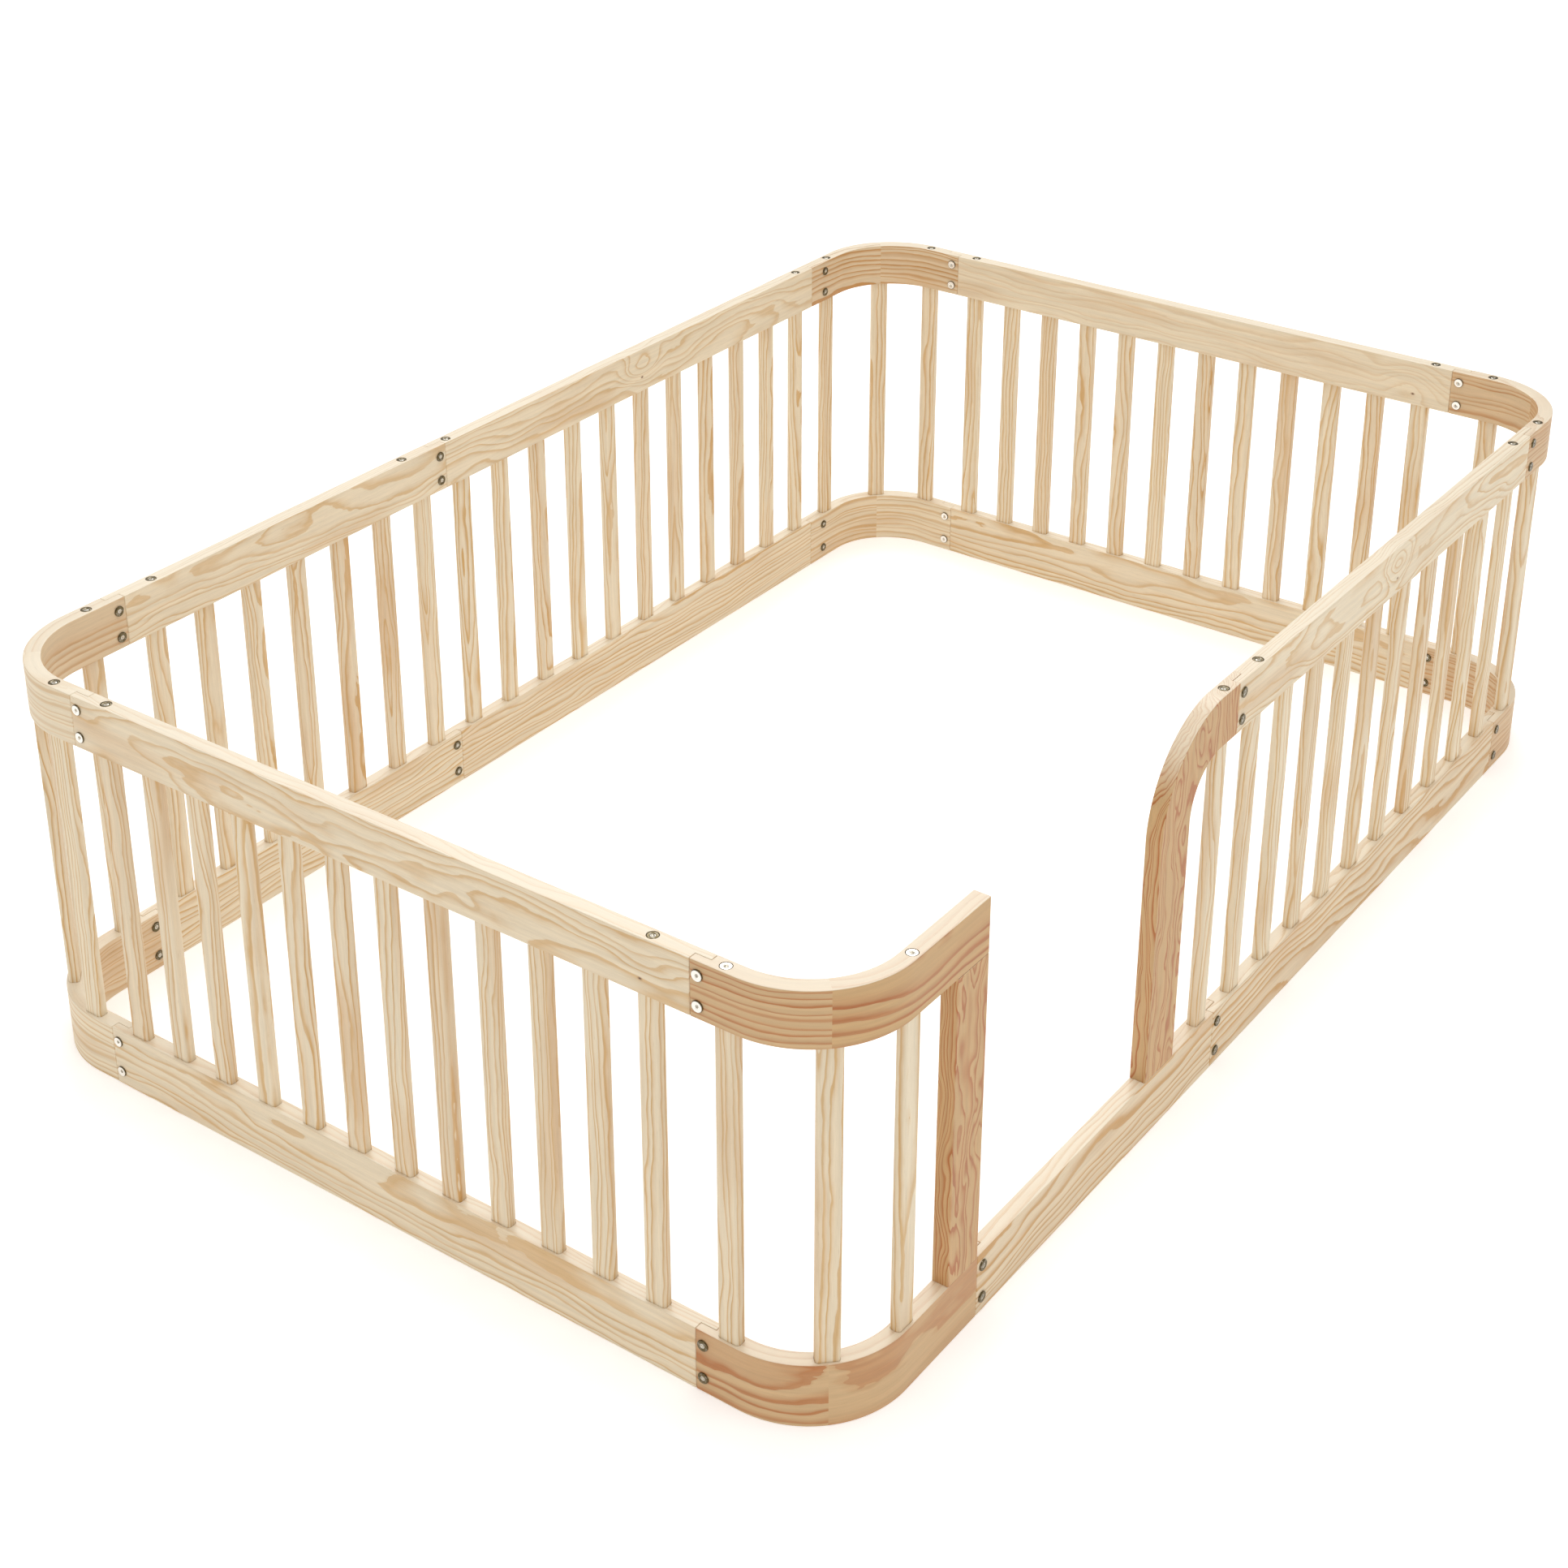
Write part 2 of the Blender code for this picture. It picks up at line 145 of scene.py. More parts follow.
def half_lap(side, low_node, high_node, low_keeps_outer):
    """Where a joint's seam shows on the outer and the inner face, from its two boards' tips."""
    axis = 0 if side in ("front", "back") else 1
    low_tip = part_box(low_node)[1][axis] + GAP / 2
    high_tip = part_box(high_node)[0][axis] - GAP / 2
    return (low_tip, high_tip) if low_keeps_outer else (high_tip, low_tip)


LAPS = {
    "left_front": half_lap("left", "corner_top_front_left", "rail_top_left", True),
    "left_back": half_lap("left", "rail_top_left", "corner_top_back_left", True),
    "right_front": half_lap("right", "corner_top_front_right", "rail_top_right", False),
    "right_back": half_lap("right", "rail_top_right", "corner_top_back_right", True),
    "front_right": half_lap("front", "rail_top_front", "corner_top_front_right", False),
    "door": half_lap("front", "door_post", "rail_top_front", False),
    "threshold": half_lap("front", "corner_bottom_front_left", "threshold", False),
    "back_right": half_lap("back", "rail_top_back_right", "corner_top_back_right", True),
    "back_mid": half_lap("back", "rail_top_back_left", "rail_top_back_right", False),
    "back_left": half_lap("back", "corner_top_back_left", "rail_top_back_left", False),
}
DOORWAY_END = (END_POST[1].x, END_POST[1].x)


def rail_end(side, lap, direction):
    """The end of a rail from its outer to its inner face, with its visible corners eased."""
    outer = lap[0] - direction * GAP / 2
    inner = lap[1] - direction * GAP / 2
    step = []
    if lap[0] != lap[1]:
        has_outer_tongue = direction * outer > direction * inner
        seam = BOARD / 2 + (-GAP / 2 if has_outer_tongue else GAP / 2)
        step = [plan_point(side, outer, seam), plan_point(side, inner, seam)]
    return [
        plan_point(side, outer - direction * JOINT_ARRIS, 0),
        plan_point(side, outer, JOINT_ARRIS),
        *step,
        plan_point(side, inner, BOARD - JOINT_ARRIS),
        plan_point(side, inner - direction * JOINT_ARRIS, BOARD),
    ]


def straight_outline(side, low_lap, high_lap):
    return rail_end(side, high_lap, 1) + rail_end(side, low_lap, -1)[::-1]


def corner_centre(x_sign, y_sign):
    return Vector((x_sign * (HALF_LENGTH - CORNER_RADIUS), y_sign * (HALF_WIDTH - CORNER_RADIUS)))


def corner_arc(x_sign, y_sign, radius):
    """Points of a quarter circle from the long side round to the short side."""
    points = []
    for step in range(ARC_STEPS + 1):
        turn = math.pi / 2 * step / ARC_STEPS
        reach = Vector((x_sign * math.sin(turn), y_sign * math.cos(turn)))
        points.append(corner_centre(x_sign, y_sign) + radius * reach)
    return points


def corner_outline(x_sign, y_sign, long_side, long_lap, short_side, short_lap):
    long_end = rail_end(long_side, long_lap, -x_sign)[::-1]
    short_end = rail_end(short_side, short_lap, -y_sign)
    outer_arc = corner_arc(x_sign, y_sign, CORNER_RADIUS)
    inner_arc = corner_arc(x_sign, y_sign, CORNER_RADIUS - BOARD)
    return long_end + outer_arc + short_end + inner_arc[::-1]


# ---------------------------------------------------------------- solids

def inset_outline(points, amount):
    """A closed outline moved inwards by `amount`, corner by corner."""
    area = sum(a.cross(b) for a, b in zip(points, points[1:] + points[:1]))
    inward = 1 if area > 0 else -1
    moved = []
    for index, point in enumerate(points):
        arriving = (point - points[index - 1]).normalized()
        leaving = (points[(index + 1) % len(points)] - point).normalized()
        mitre = Vector((-arriving.y - leaving.y, arriving.x + leaving.x))
        moved.append(point + inward * amount * mitre * 2 / mitre.length_squared)
    return moved


def eased_levels(outline, low, high, radius):
    """(height, outline) pairs that round both ends' edges by a quarter circle."""
    if radius == 0:
        return [(low, outline), (high, outline)]
    levels = []
    for step in range(EDGE_STEPS + 1):
        turn = math.pi / 2 * step / EDGE_STEPS
        rise = radius * (1 - math.cos(turn))
        levels.append((rise, inset_outline(outline, radius * (1 - math.sin(turn)))))
    lower = [(low + rise, loop) for rise, loop in levels]
    upper = [(high - rise, loop) for rise, loop in levels[::-1]]
    return lower + upper


def upright(point, height):
    return Vector((point.x, point.y, height))


def in_front_side(point, depth):
    """Maps an outline drawn in X and Z to a board standing in the doorway side."""
    return Vector((point.x, depth - HALF_WIDTH, point.y))


def extrude_outline(outline, low, high, radius=0, to_space=upright):
    """A closed solid from an outline, with both ends' edges eased."""
    bm = bmesh.new()
    loops = []
    for height, loop in eased_levels(outline, low, high, radius):
        loops.append([bm.verts.new(to_space(point, height)) for point in loop])
    for lower, upper in zip(loops, loops[1:]):
        for index in range(len(lower)):
            after = (index + 1) % len(lower)
            bm.faces.new((lower[index], lower[after], upper[after], upper[index]))
    bm.faces.new(loops[0])
    bm.faces.new(loops[-1])
    bmesh.ops.recalc_face_normals(bm, faces=bm.faces)
    return bm


def turned_solid(rings, sides=TURNED_SIDES):
    """A closed solid about +Z from rings of (radius, height); a negative radius means a hexagon."""
    bm = bmesh.new()
    loops = []
    for radius, height in rings:
        loop = []
        for step in range(sides):
            turn = 2 * math.pi * step / sides
            reach = radius
            if radius < 0:
                reach = -radius / math.cos(turn % (math.pi / 3) - math.pi / 6)
            loop.append(bm.verts.new((reach * math.cos(turn), reach * math.sin(turn), height)))
        loops.append(loop)
    for lower, upper in zip(loops, loops[1:]):
        for index in range(sides):
            after = (index + 1) % sides
            bm.faces.new((lower[index], lower[after], upper[after], upper[index]))
    bm.faces.new(loops[0])
    bm.faces.new(loops[-1])
    bmesh.ops.recalc_face_normals(bm, faces=bm.faces)
    return bm


def mark_bright_metal(bm, bright_radius):
    """Marks the metal within `bright_radius` of a fastener's axis as bright. A radius that takes in
    most of the head paints light on a head that faces the light.
    """
    layer = bm.verts.layers.float.new("bright_metal")
    for vert in bm.verts:
        vert[layer] = float(vert.co.xy.length < bright_radius)
    return bm


def merge_solids(placed):
    """One bmesh from (solid, placing) pairs, each solid staying a separate closed body."""
    merged = bmesh.new()
    for solid, placing in placed:
        bmesh.ops.transform(solid, matrix=placing, verts=solid.verts)
        mesh = bpy.data.meshes.new("merge_step")
        solid.to_mesh(mesh)
        solid.free()
        merged.from_mesh(mesh)
        bpy.data.meshes.remove(mesh)
    return merged


def place_object(name, data):
    item = bpy.data.objects.new(name, data)
    bpy.context.scene.collection.objects.link(item)
    return item


def add_object(name, bm):
    mesh = bpy.data.meshes.new(name)
    bm.to_mesh(mesh)
    bm.free()
    return place_object(name, mesh)


def apply_boolean(item, bm, operation):
    """Cuts or joins a helper solid and leaves the finished mesh on the object."""
    tool = add_object("helper_solid", bm)
    modifier = item.modifiers.new("cut", "BOOLEAN")
    modifier.operation = operation
    modifier.object = tool
    modifier.solver = "EXACT"
    bpy.context.view_layer.update()
    evaluated = item.evaluated_get(bpy.context.evaluated_depsgraph_get())
    finished = bpy.data.meshes.new_from_object(evaluated)
    item.modifiers.clear()
    rough = item.data
    item.data = finished
    bpy.data.meshes.remove(rough)
    bpy.data.objects.remove(tool, do_unlink=True)


# ---------------------------------------------------------------- grain

# How a board was sawn: the pith's direction off the board's thickness axis in degrees, how far the
# log leans along the board in radians, and how far away the pith is. A small angle gives cathedral
# figure, a large one stripes.
CATHEDRAL = ((12, 26), (0.012, 0.034), (0.055, 0.100))
MIXED = ((28, 48), (0.008, 0.022), (0.055, 0.105))
STRIPED = ((56, 74), (0.004, 0.014), (0.070, 0.130))
SWIRLED = ((2, 9), (0.006, 0.016), (0.110, 0.170))
FLAME = ((66, 76), (0.040, 0.080), (0.200, 0.280))
LEVEL = ((84, 89), (0.003, 0.012), (0.350, 0.500))

# Where along its log a board may lie, and how far boards of one look differ
PLACE_IN_LOG = (1, 9)
WARMTH_SPREAD = (-0.05, 0.05)
CONTRAST_SPREAD = (0.92, 1.08)
RING_SPREAD = (0.94, 1.06)


def log_frame(middle, along, across, through, sawn):
    """The matrix that takes a point of a board to its place in the log that it was sawn from."""
    angles, leans, distances = sawn
    angle = math.radians(rng.uniform(*angles)) * rng.choice((-1, 1))
    lean = rng.uniform(*leans) * rng.choice((-1, 1))
    distance = rng.uniform(*distances)
    axes = Matrix((along, across, through)).to_4x4()
    leaning = Matrix.Rotation(lean, 4, "Y") @ Matrix.Rotation(lean / 2, 4, "Z")
    from_pith = distance * math.sin(angle), distance * math.cos(angle)
    pith = Vector((rng.uniform(*PLACE_IN_LOG), *from_pith))
    return Matrix.Translation(pith) @ leaning @ axes @ Matrix.Translation(-middle)


def paint_vectors(mesh, name, value_at):
    """Stores a vector on each face corner; `value_at` gets the face and the corner's place."""
    values = []
    for face in mesh.polygons:
        for index in face.vertices:
            values.extend(value_at(face, mesh.vertices[index].co))
    attribute = mesh.attributes.new(name, "FLOAT_VECTOR", "CORNER")
    attribute.data.foreach_set("vector", values)


NO_KNOT = (9, 9, 0)

# A board's look: how it was sawn, its warmth from cream to orange, how strongly its rings show,
# and the width of one ring
Look = namedtuple("Look", "sawing warmth contrast ring")


def board_tone(look):
    return Vector((
        look.warmth + rng.uniform(*WARMTH_SPREAD),
        look.contrast * rng.uniform(*CONTRAST_SPREAD),
        look.ring * rng.uniform(*RING_SPREAD),
    ))


def paint_grain(mesh, wood_at, knot=None, unroll=lambda centre, point: point):
    """Stores where in its log each point lies, the wood's own tone, and the way to its knot.

    `wood_at` gives the log's matrix and the tone for a face's centre. `unroll` lays a curved
    board's point out straight first.
    """
    paint_vectors(mesh, "grain", lambda face, point: (
        wood_at(face.center)[0] @ unroll(face.center, point)))
    paint_vectors(mesh, "tone", lambda face, point: wood_at(face.center)[1])
    if knot is None:
        paint_vectors(mesh, "knot", lambda face, point: NO_KNOT)
        return
    spot, along, swirl = knot
    paint_vectors(mesh, "knot", lambda face, point: (
        (point - spot).dot(along), point.z - spot.z, swirl))


# ---------------------------------------------------------------- materials

# Linear colours
CREAM = (0.865, 0.745, 0.550, 1)
# Painted light: the pale colour that upward faces are painted towards, standing in for light from
# above
PAINTED_TOP_LIGHT = (0.930, 0.850, 0.710, 1)
HONEY = (0.640, 0.412, 0.192, 1)
TAN_RING = (0.665, 0.400, 0.135, 1)
ORANGE_RING = (0.465, 0.150, 0.034, 1)
BLUSH = (0.660, 0.395, 0.180, 1)
RESIN = (0.380, 0.190, 0.080, 1)
KNOT_CORE = (0.100, 0.050, 0.024, 1)
NICKEL = (0.860, 0.830, 0.770, 1)
TARNISH = (0.125, 0.096, 0.046, 1)

# Waves per metre along and across the log
FINE_WOBBLE = (22, 70)
PATCHES = (5, 26)
BLUSHES = (3.0, 14)
STREAKS = (4, 190)
FIBRES = (45, 1500)
RESIN_FLECKS = (60, 800)

# What noise gives: its low and its high value, and the strength or the shade at each of them
RING_STRENGTH = (0.0, 1.0, 0.72, 1.0)
PATCH_STRENGTH = (0.30, 0.58, 0.74, 1.0)
BLUSH_STRENGTH = (0.50, 0.72, 0.0, 0.45)
STREAK_SHADE = (0.25, 0.75, 0.86, 0.98)
FIBRE_SHADE = (0.2, 0.8, 0.95, 1.04)
RESIN_STRENGTH = (0.70, 0.82, 0.0, 0.30)
WOOD_ROUGHNESS = (0.2, 0.8, 0.46, 0.58)
NICKEL_CLOUDING = (0.45, 0.75, 0.0, 0.22)
NICKEL_ROUGHNESS = (0.2, 0.8, 0.16, 0.30)

# How far the rings wobble, and how they swerve above a knot
FINE_WOBBLE_REACH = 0.0042
SWIRL_ABOVE_KNOT = (0, 0.020, 0)
SWIRL_RADIUS = 0.046
SWIRL_PUSH = 0.027

# A knot's core and its resin rim: between which distances they fade, and their strength at each
KNOT_CORE_FADE = (0.0005, 0.0016, 1.0, 0.0)
KNOT_RIM_FADE = (0.0008, 0.0032, 0.75, 0.0)
KNOT_OVAL = (0.6, 1.0, 0.0)

# Pale early wood darkens to a late-wood line with a crisp outer edge: place in the ring, darkness
RING_PROFILE = ((0.00, 0.34), (0.07, 0.02), (0.44, 0.06), (0.69, 0.42), (0.85, 1.00), (0.95, 0.90))
GROWTH_WAVES = 0.55
GROWTH_SHIFT = 1.4

# Painted light on upward faces grows between these heights of a face's normal. How much of the
# wood's warmth it leaves, and how much it paints the wood paler, standing in for light from above
PAINTED_TOP_LIGHT_FACING = (0.35, 0.95)
PAINTED_TOP_LIGHT_WARMTH = 0.40
PAINTED_TOP_LIGHT_PALENESS = 0.45

# How much smoother late wood and upward faces are, and how far fibres and late wood stand up
LATE_WOOD_GLOSS = 0.10
TOP_FACE_GLOSS = 0.16
FIBRE_RELIEF = 0.6
LATE_WOOD_RELIEF = 0.35

# Bumps: their strength and their height
WOOD_BUMP = (0.35, 0.0003)
NICKEL_BUMP = (0.15, 0.0001)

WOOD_IOR = 1.5
CLOUDS = (260, 260)
KEY_MARKS = (2600, 2600)


def add_node(tree, kind, inputs, **settings):
    """A shader node; each input is set to a value or linked to another node's output."""
    item = tree.nodes.new(kind)
    for name, value in settings.items():
        setattr(item, name, value)
    for place, value in inputs.items():
        if isinstance(value, bpy.types.NodeSocket):
            tree.links.new(value, item.inputs[place])
        else:
            item.inputs[place].default_value = value
    return item


def calc(tree, operation, *values):
    return add_node(tree, "ShaderNodeMath", dict(enumerate(values)), operation=operation).outputs[0]


def product(tree, first, *others):
    for other in others:
        first = calc(tree, "MULTIPLY", first, other)
    return first


def calc_vector(tree, operation, first, second):
    inputs = {0: first, 1: second}
    return add_node(tree, "ShaderNodeVectorMath", inputs, operation=operation).outputs[0]


def vector_length(tree, vector):
    length = add_node(tree, "ShaderNodeVectorMath", {0: vector}, operation="LENGTH")
    return length.outputs["Value"]


def split_vector(tree, vector):
    return add_node(tree, "ShaderNodeSeparateXYZ", {0: vector}).outputs


def read_attribute(tree, name):
    """A vector that is stored on the mesh."""
    return add_node(tree, "ShaderNodeAttribute", {}, attribute_name=name).outputs["Vector"]


def noise(tree, place, stretch, detail=2.0, roughness=0.5):
    """Noise over the log's coordinates; `stretch` is its waves per metre along and across."""
    scaled = calc_vector(tree, "MULTIPLY", place, (stretch[0], stretch[1], stretch[1]))
    inputs = {"Vector": scaled, "Scale": 1.0, "Detail": detail, "Roughness": roughness}
    return add_node(tree, "ShaderNodeTexNoise", inputs)


def wobble(tree, place, stretch, amount):
    """The place moved sideways in the log by noise, up to about a quarter of `amount`."""
    waves = noise(tree, place, stretch).outputs["Color"]
    centred = calc_vector(tree, "SUBTRACT", waves, (0.5, 0.5, 0.5))
    shift = calc_vector(tree, "MULTIPLY", centred, (0, amount, amount))
    return calc_vector(tree, "ADD", place, shift)


def mix_colours(tree, factor, first, second, blend="MIX"):
    inputs = {0: factor, 6: first, 7: second}
    mixed = add_node(tree, "ShaderNodeMix", inputs, data_type="RGBA", blend_type=blend)
    return mixed.outputs[2]


def span(tree, value, low, high, to_low=0.0, to_high=1.0):
    """A value carried from one range to another, clamped, with soft ends."""
    inputs = {0: value, 1: low, 2: high, 3: to_low, 4: to_high}
    return add_node(tree, "ShaderNodeMapRange", inputs, interpolation_type="SMOOTHSTEP").outputs[0]


def ring_profile(tree, part):
    """How dark the wood is at this part of its ring's width."""
    ramp = add_node(tree, "ShaderNodeValToRGB", {"Fac": part})
    elements = ramp.color_ramp.elements
    while len(elements) < len(RING_PROFILE):
        elements.new(0.5)
    for element, (position, value) in zip(elements, RING_PROFILE):
        element.position = position
        element.color = (value, value, value, 1)
    return ramp.outputs["Color"]


def oval_distance(tree, place, middle):
    """How far a place is from a middle point, in ovals that lie along the board."""
    offset = calc_vector(tree, "SUBTRACT", place, middle)
    return vector_length(tree, calc_vector(tree, "MULTIPLY", offset, KNOT_OVAL))


def knot_swirl(tree, to_knot):
    """How far the rings swerve above a knot."""
    distance = oval_distance(tree, to_knot, SWIRL_ABOVE_KNOT)
    push = span(tree, distance, 0.0, SWIRL_RADIUS, SWIRL_PUSH, 0.0)
    return calc(tree, "MULTIPLY", push, split_vector(tree, to_knot)[2])


def ring_count(tree, place, wander, swirl, ring_width):
    """How many rings lie between the pith and a place, with wider rings in good years."""
    waves, waviness = wander
    bent = wobble(tree, wobble(tree, place, waves, waviness), FINE_WOBBLE, FINE_WOBBLE_REACH)
    radius = vector_length(tree, calc_vector(tree, "MULTIPLY", bent, (0, 1, 1)))
    count = calc(tree, "DIVIDE", calc(tree, "ADD", radius, swirl), ring_width)
    years = {"W": calc(tree, "MULTIPLY", count, GROWTH_WAVES), "Scale": 1.0, "Detail": 1.0}
    growth = add_node(tree, "ShaderNodeTexNoise", years, noise_dimensions="1D").outputs[0]
    return calc(tree, "ADD", count, calc(tree, "MULTIPLY", growth, GROWTH_SHIFT))


def late_wood(tree, place, count, contrast):
    """How dark the late wood is, which varies from ring to ring and in patches."""
    ring_number = {"W": calc(tree, "FLOOR", count)}
    ring_noise = add_node(tree, "ShaderNodeTexWhiteNoise", ring_number, noise_dimensions="1D")
    ring_strength = span(tree, ring_noise.outputs["Value"], *RING_STRENGTH)
    patchy = span(tree, noise(tree, place, PATCHES).outputs[0], *PATCH_STRENGTH)
    late = ring_profile(tree, calc(tree, "FRACT", count))
    return product(tree, late, ring_strength, patchy, contrast)


def wood_colour(tree, place, warmth, late):
    """Early wood with warmer blotches, crossed by the late wood's lines."""
    early_colour = mix_colours(tree, warmth, CREAM, HONEY)
    late_colour = mix_colours(tree, warmth, TAN_RING, ORANGE_RING)
    blush = span(tree, noise(tree, place, BLUSHES).outputs[0], *BLUSH_STRENGTH)
    early_colour = mix_colours(tree, blush, early_colour, BLUSH)
    return mix_colours(tree, late, early_colour, late_colour)


def streaked(tree, colour, place, fibres):
    """A colour with long streaks, fine fibres and flecks of resin."""
    streaks = noise(tree, place, STREAKS, 3.0, 0.6).outputs[0]
    shade = calc(tree, "MULTIPLY", span(tree, streaks, *STREAK_SHADE),
                 span(tree, fibres, *FIBRE_SHADE))
    grey = add_node(tree, "ShaderNodeCombineColor", {0: shade, 1: shade, 2: shade}).outputs[0]
    colour = mix_colours(tree, 1.0, colour, grey, "MULTIPLY")
    resin = span(tree, noise(tree, place, RESIN_FLECKS, 1.0).outputs[0], *RESIN_STRENGTH)
    return mix_colours(tree, resin, colour, RESIN)


def with_knot(tree, colour, to_knot):
    distance = oval_distance(tree, to_knot, (0, 0, 0))
    rim = span(tree, distance, *KNOT_RIM_FADE)
    core = span(tree, distance, *KNOT_CORE_FADE)
    return mix_colours(tree, core, mix_colours(tree, rim, colour, RESIN), KNOT_CORE)


def new_material(name):
    material = bpy.data.materials.new(name)
    material.use_nodes = True
    return material


def set_surface(tree, colour, roughness, relief, bump_size):
    """Links a colour, a roughness and a bump to a material's shader, and gives the shader."""
    shader = tree.nodes["Principled BSDF"]
    strength, height = bump_size
    bump_inputs = {"Height": relief, "Strength": strength, "Distance": height}
    bump = add_node(tree, "ShaderNodeBump", bump_inputs)
    tree.links.new(colour, shader.inputs["Base Color"])
    tree.links.new(roughness, shader.inputs["Roughness"])
    tree.links.new(bump.outputs[0], shader.inputs["Normal"])
    return shader


def make_pine(slot, wander):
    """Solid pine: growth rings round the log's pith, fibres, resin streaks, blotches and a knot,
    with upward faces painted paler and less warm as painted light.
    """
    material = new_material(slot)
    tree = material.node_tree
    place = read_attribute(tree, "grain")
    to_knot = read_attribute(tree, "knot")
    warmth, contrast, ring_width = split_vector(tree, read_attribute(tree, "tone"))
    # Painted light: faces that point up are painted paler and less warm, as if lit from above
    facing = add_node(tree, "ShaderNodeTexCoord", {}).outputs["Normal"]
    painted_top_light = span(tree, split_vector(tree, facing)[2], *PAINTED_TOP_LIGHT_FACING)
    warmth = calc(tree, "MULTIPLY", warmth, span(tree, painted_top_light, 0.0, 1.0, 1.0, PAINTED_TOP_LIGHT_WARMTH))

    count = ring_count(tree, place, wander, knot_swirl(tree, to_knot), ring_width)
    late = late_wood(tree, place, count, contrast)
    fibres = noise(tree, place, FIBRES, 2.0, 0.6).outputs[0]
    colour = wood_colour(tree, place, warmth, late)
    colour = with_knot(tree, streaked(tree, colour, place, fibres), to_knot)
    # Painted light: upward faces are mixed towards the pale top colour
    colour = mix_colours(tree, calc(tree, "MULTIPLY", painted_top_light, PAINTED_TOP_LIGHT_PALENESS), colour, PAINTED_TOP_LIGHT)

    roughness = span(tree, fibres, *WOOD_ROUGHNESS)
    roughness = calc(tree, "SUBTRACT", roughness, calc(tree, "MULTIPLY", late, LATE_WOOD_GLOSS))
    roughness = calc(tree, "SUBTRACT", roughness, calc(tree, "MULTIPLY", painted_top_light, TOP_FACE_GLOSS))
    relief = calc(tree, "ADD", calc(tree, "MULTIPLY", fibres, FIBRE_RELIEF),
                  calc(tree, "MULTIPLY", late, LATE_WOOD_RELIEF))
    shader = set_surface(tree, colour, roughness, relief, WOOD_BUMP)
    shader.inputs["IOR"].default_value = WOOD_IOR
    return material


def make_nickel():
    """Aged nickel, dull and olive on the heads, bright round the socket, and bright over most of
    the head where light is painted on a head that faces the light.
    """
    material = new_material("nickel")
    tree = material.node_tree
    place = add_node(tree, "ShaderNodeTexCoord", {}).outputs["Object"]
    # Painted light: the bright metal covers most of a head that faces the light
    bright_metal = add_node(tree, "ShaderNodeAttribute", {}, attribute_name="bright_metal").outputs["Fac"]
    cloud = noise(tree, place, CLOUDS, 3.0).outputs[0]
    marks = noise(tree, place, KEY_MARKS, 2.0).outputs[0]
    bright = calc(tree, "MAXIMUM", bright_metal, span(tree, cloud, *NICKEL_CLOUDING))
    colour = mix_colours(tree, bright, TARNISH, NICKEL)
    roughness = span(tree, marks, *NICKEL_ROUGHNESS)
    shader = set_surface(tree, colour, roughness, marks, NICKEL_BUMP)
    shader.inputs["Metallic"].default_value = 1.0
    return material


# How the rings wander in each kind of board: waves per metre along and across, and how far
WANDER = {
    "pine_rails": ((3.6, 11), 0.048),
    "pine_corner_rails": ((3.6, 11), 0.036),
    "pine_posts": ((6.5, 18), 0.044),
    "pine_slats": ((3.6, 11), 0.030),
}
PINE = {slot: make_pine(slot, wander) for slot, wander in WANDER.items()}
NICKEL_PLATING = make_nickel()


# ---------------------------------------------------------------- places of slats and fasteners

class Slat:
    """A slat's name, the CAD node that it stands for, its plan centre and its placing."""

    def __init__(self, name, node, centre, angle):
        self.name = name
        self.node = node
        self.centre = centre
        self.placing = Matrix.Translation((centre.x, centre.y, 0)) @ Matrix.Rotation(angle, 4, "Z")


def separate_slat(node):
    """A slat that is its own CAD node: its box gives its centre and which way it is turned."""
    low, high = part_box(node)
    centre = (low + high) / 2
    size = high - low
    if abs(size.x - size.y) < SLAT_THICKNESS / 2:
        angle = math.atan2(-math.copysign(1, centre.x), math.copysign(1, centre.y))
    else:
        angle = 0 if size.x > size.y else math.pi / 2
    return Slat("pine_" + node, node, centre.xy, angle)


def comb_slats(node):
    """The slats that the frame holds as one comb with their rail."""
    side, first, pitch, count = COMB_SLATS[node]
    angle = 0 if side == "back" else math.pi / 2
    name = node.replace("comb", "pine_slat") + "_panel"
    made = []
    for index in range(count):
        centre = plan_point(side, first + pitch * index, BOARD / 2)
        made.append(Slat(f"{name}_{index + 1:02d}", node, centre, angle))
    return made


slats = [separate_slat(node) for node in sorted(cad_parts) if node.startswith("slat_")]
for comb_node in COMB_SLATS:
    slats += comb_slats(comb_node)


def outward_placing(side, along, height):
    """Turns +Z to a side's outward direction, with the origin on its outer face."""
    inward = SIDES[side][2]
    spot = plan_point(side, along, 0)
    turn = Vector((0, 0, 1)).rotation_difference(Vector((-inward.x, -inward.y, 0)))
    return Matrix.Translation((spot.x, spot.y, height)) @ turn.to_matrix().to_4x4()


def bolt_places():
    """The placing of every joint bolt: two through each top and each bottom joint."""
    places = []
    for name, lap in LAPS.items():
        side = "front" if name in ("door", "threshold") else name.split("_")[0]
        along = sum(lap) / 2
        if name == "back_right":
            along += BACK_RIGHT_BOLT_SHIFT
        heights = BOTTOM_BOLT_HEIGHTS
        if name != "threshold":
            heights = TOP_BOLT_HEIGHTS + BOTTOM_BOLT_HEIGHTS
        for height in heights:
            places.append(outward_placing(side, along, height))
    return places


def screw_places():
    """The placing of every screw down through a top rail, with its head's top at the origin."""
    places = []
    for side, centres in RAIL_SCREWS.items():
        for along in centres:
            spot = plan_point(side, along, BOARD / 2)
            places.append(Matrix.Translation((spot.x, spot.y, HEIGHT)))
    return places


bolts = bolt_places()
screws = screw_places()


# ---------------------------------------------------------------- cutters

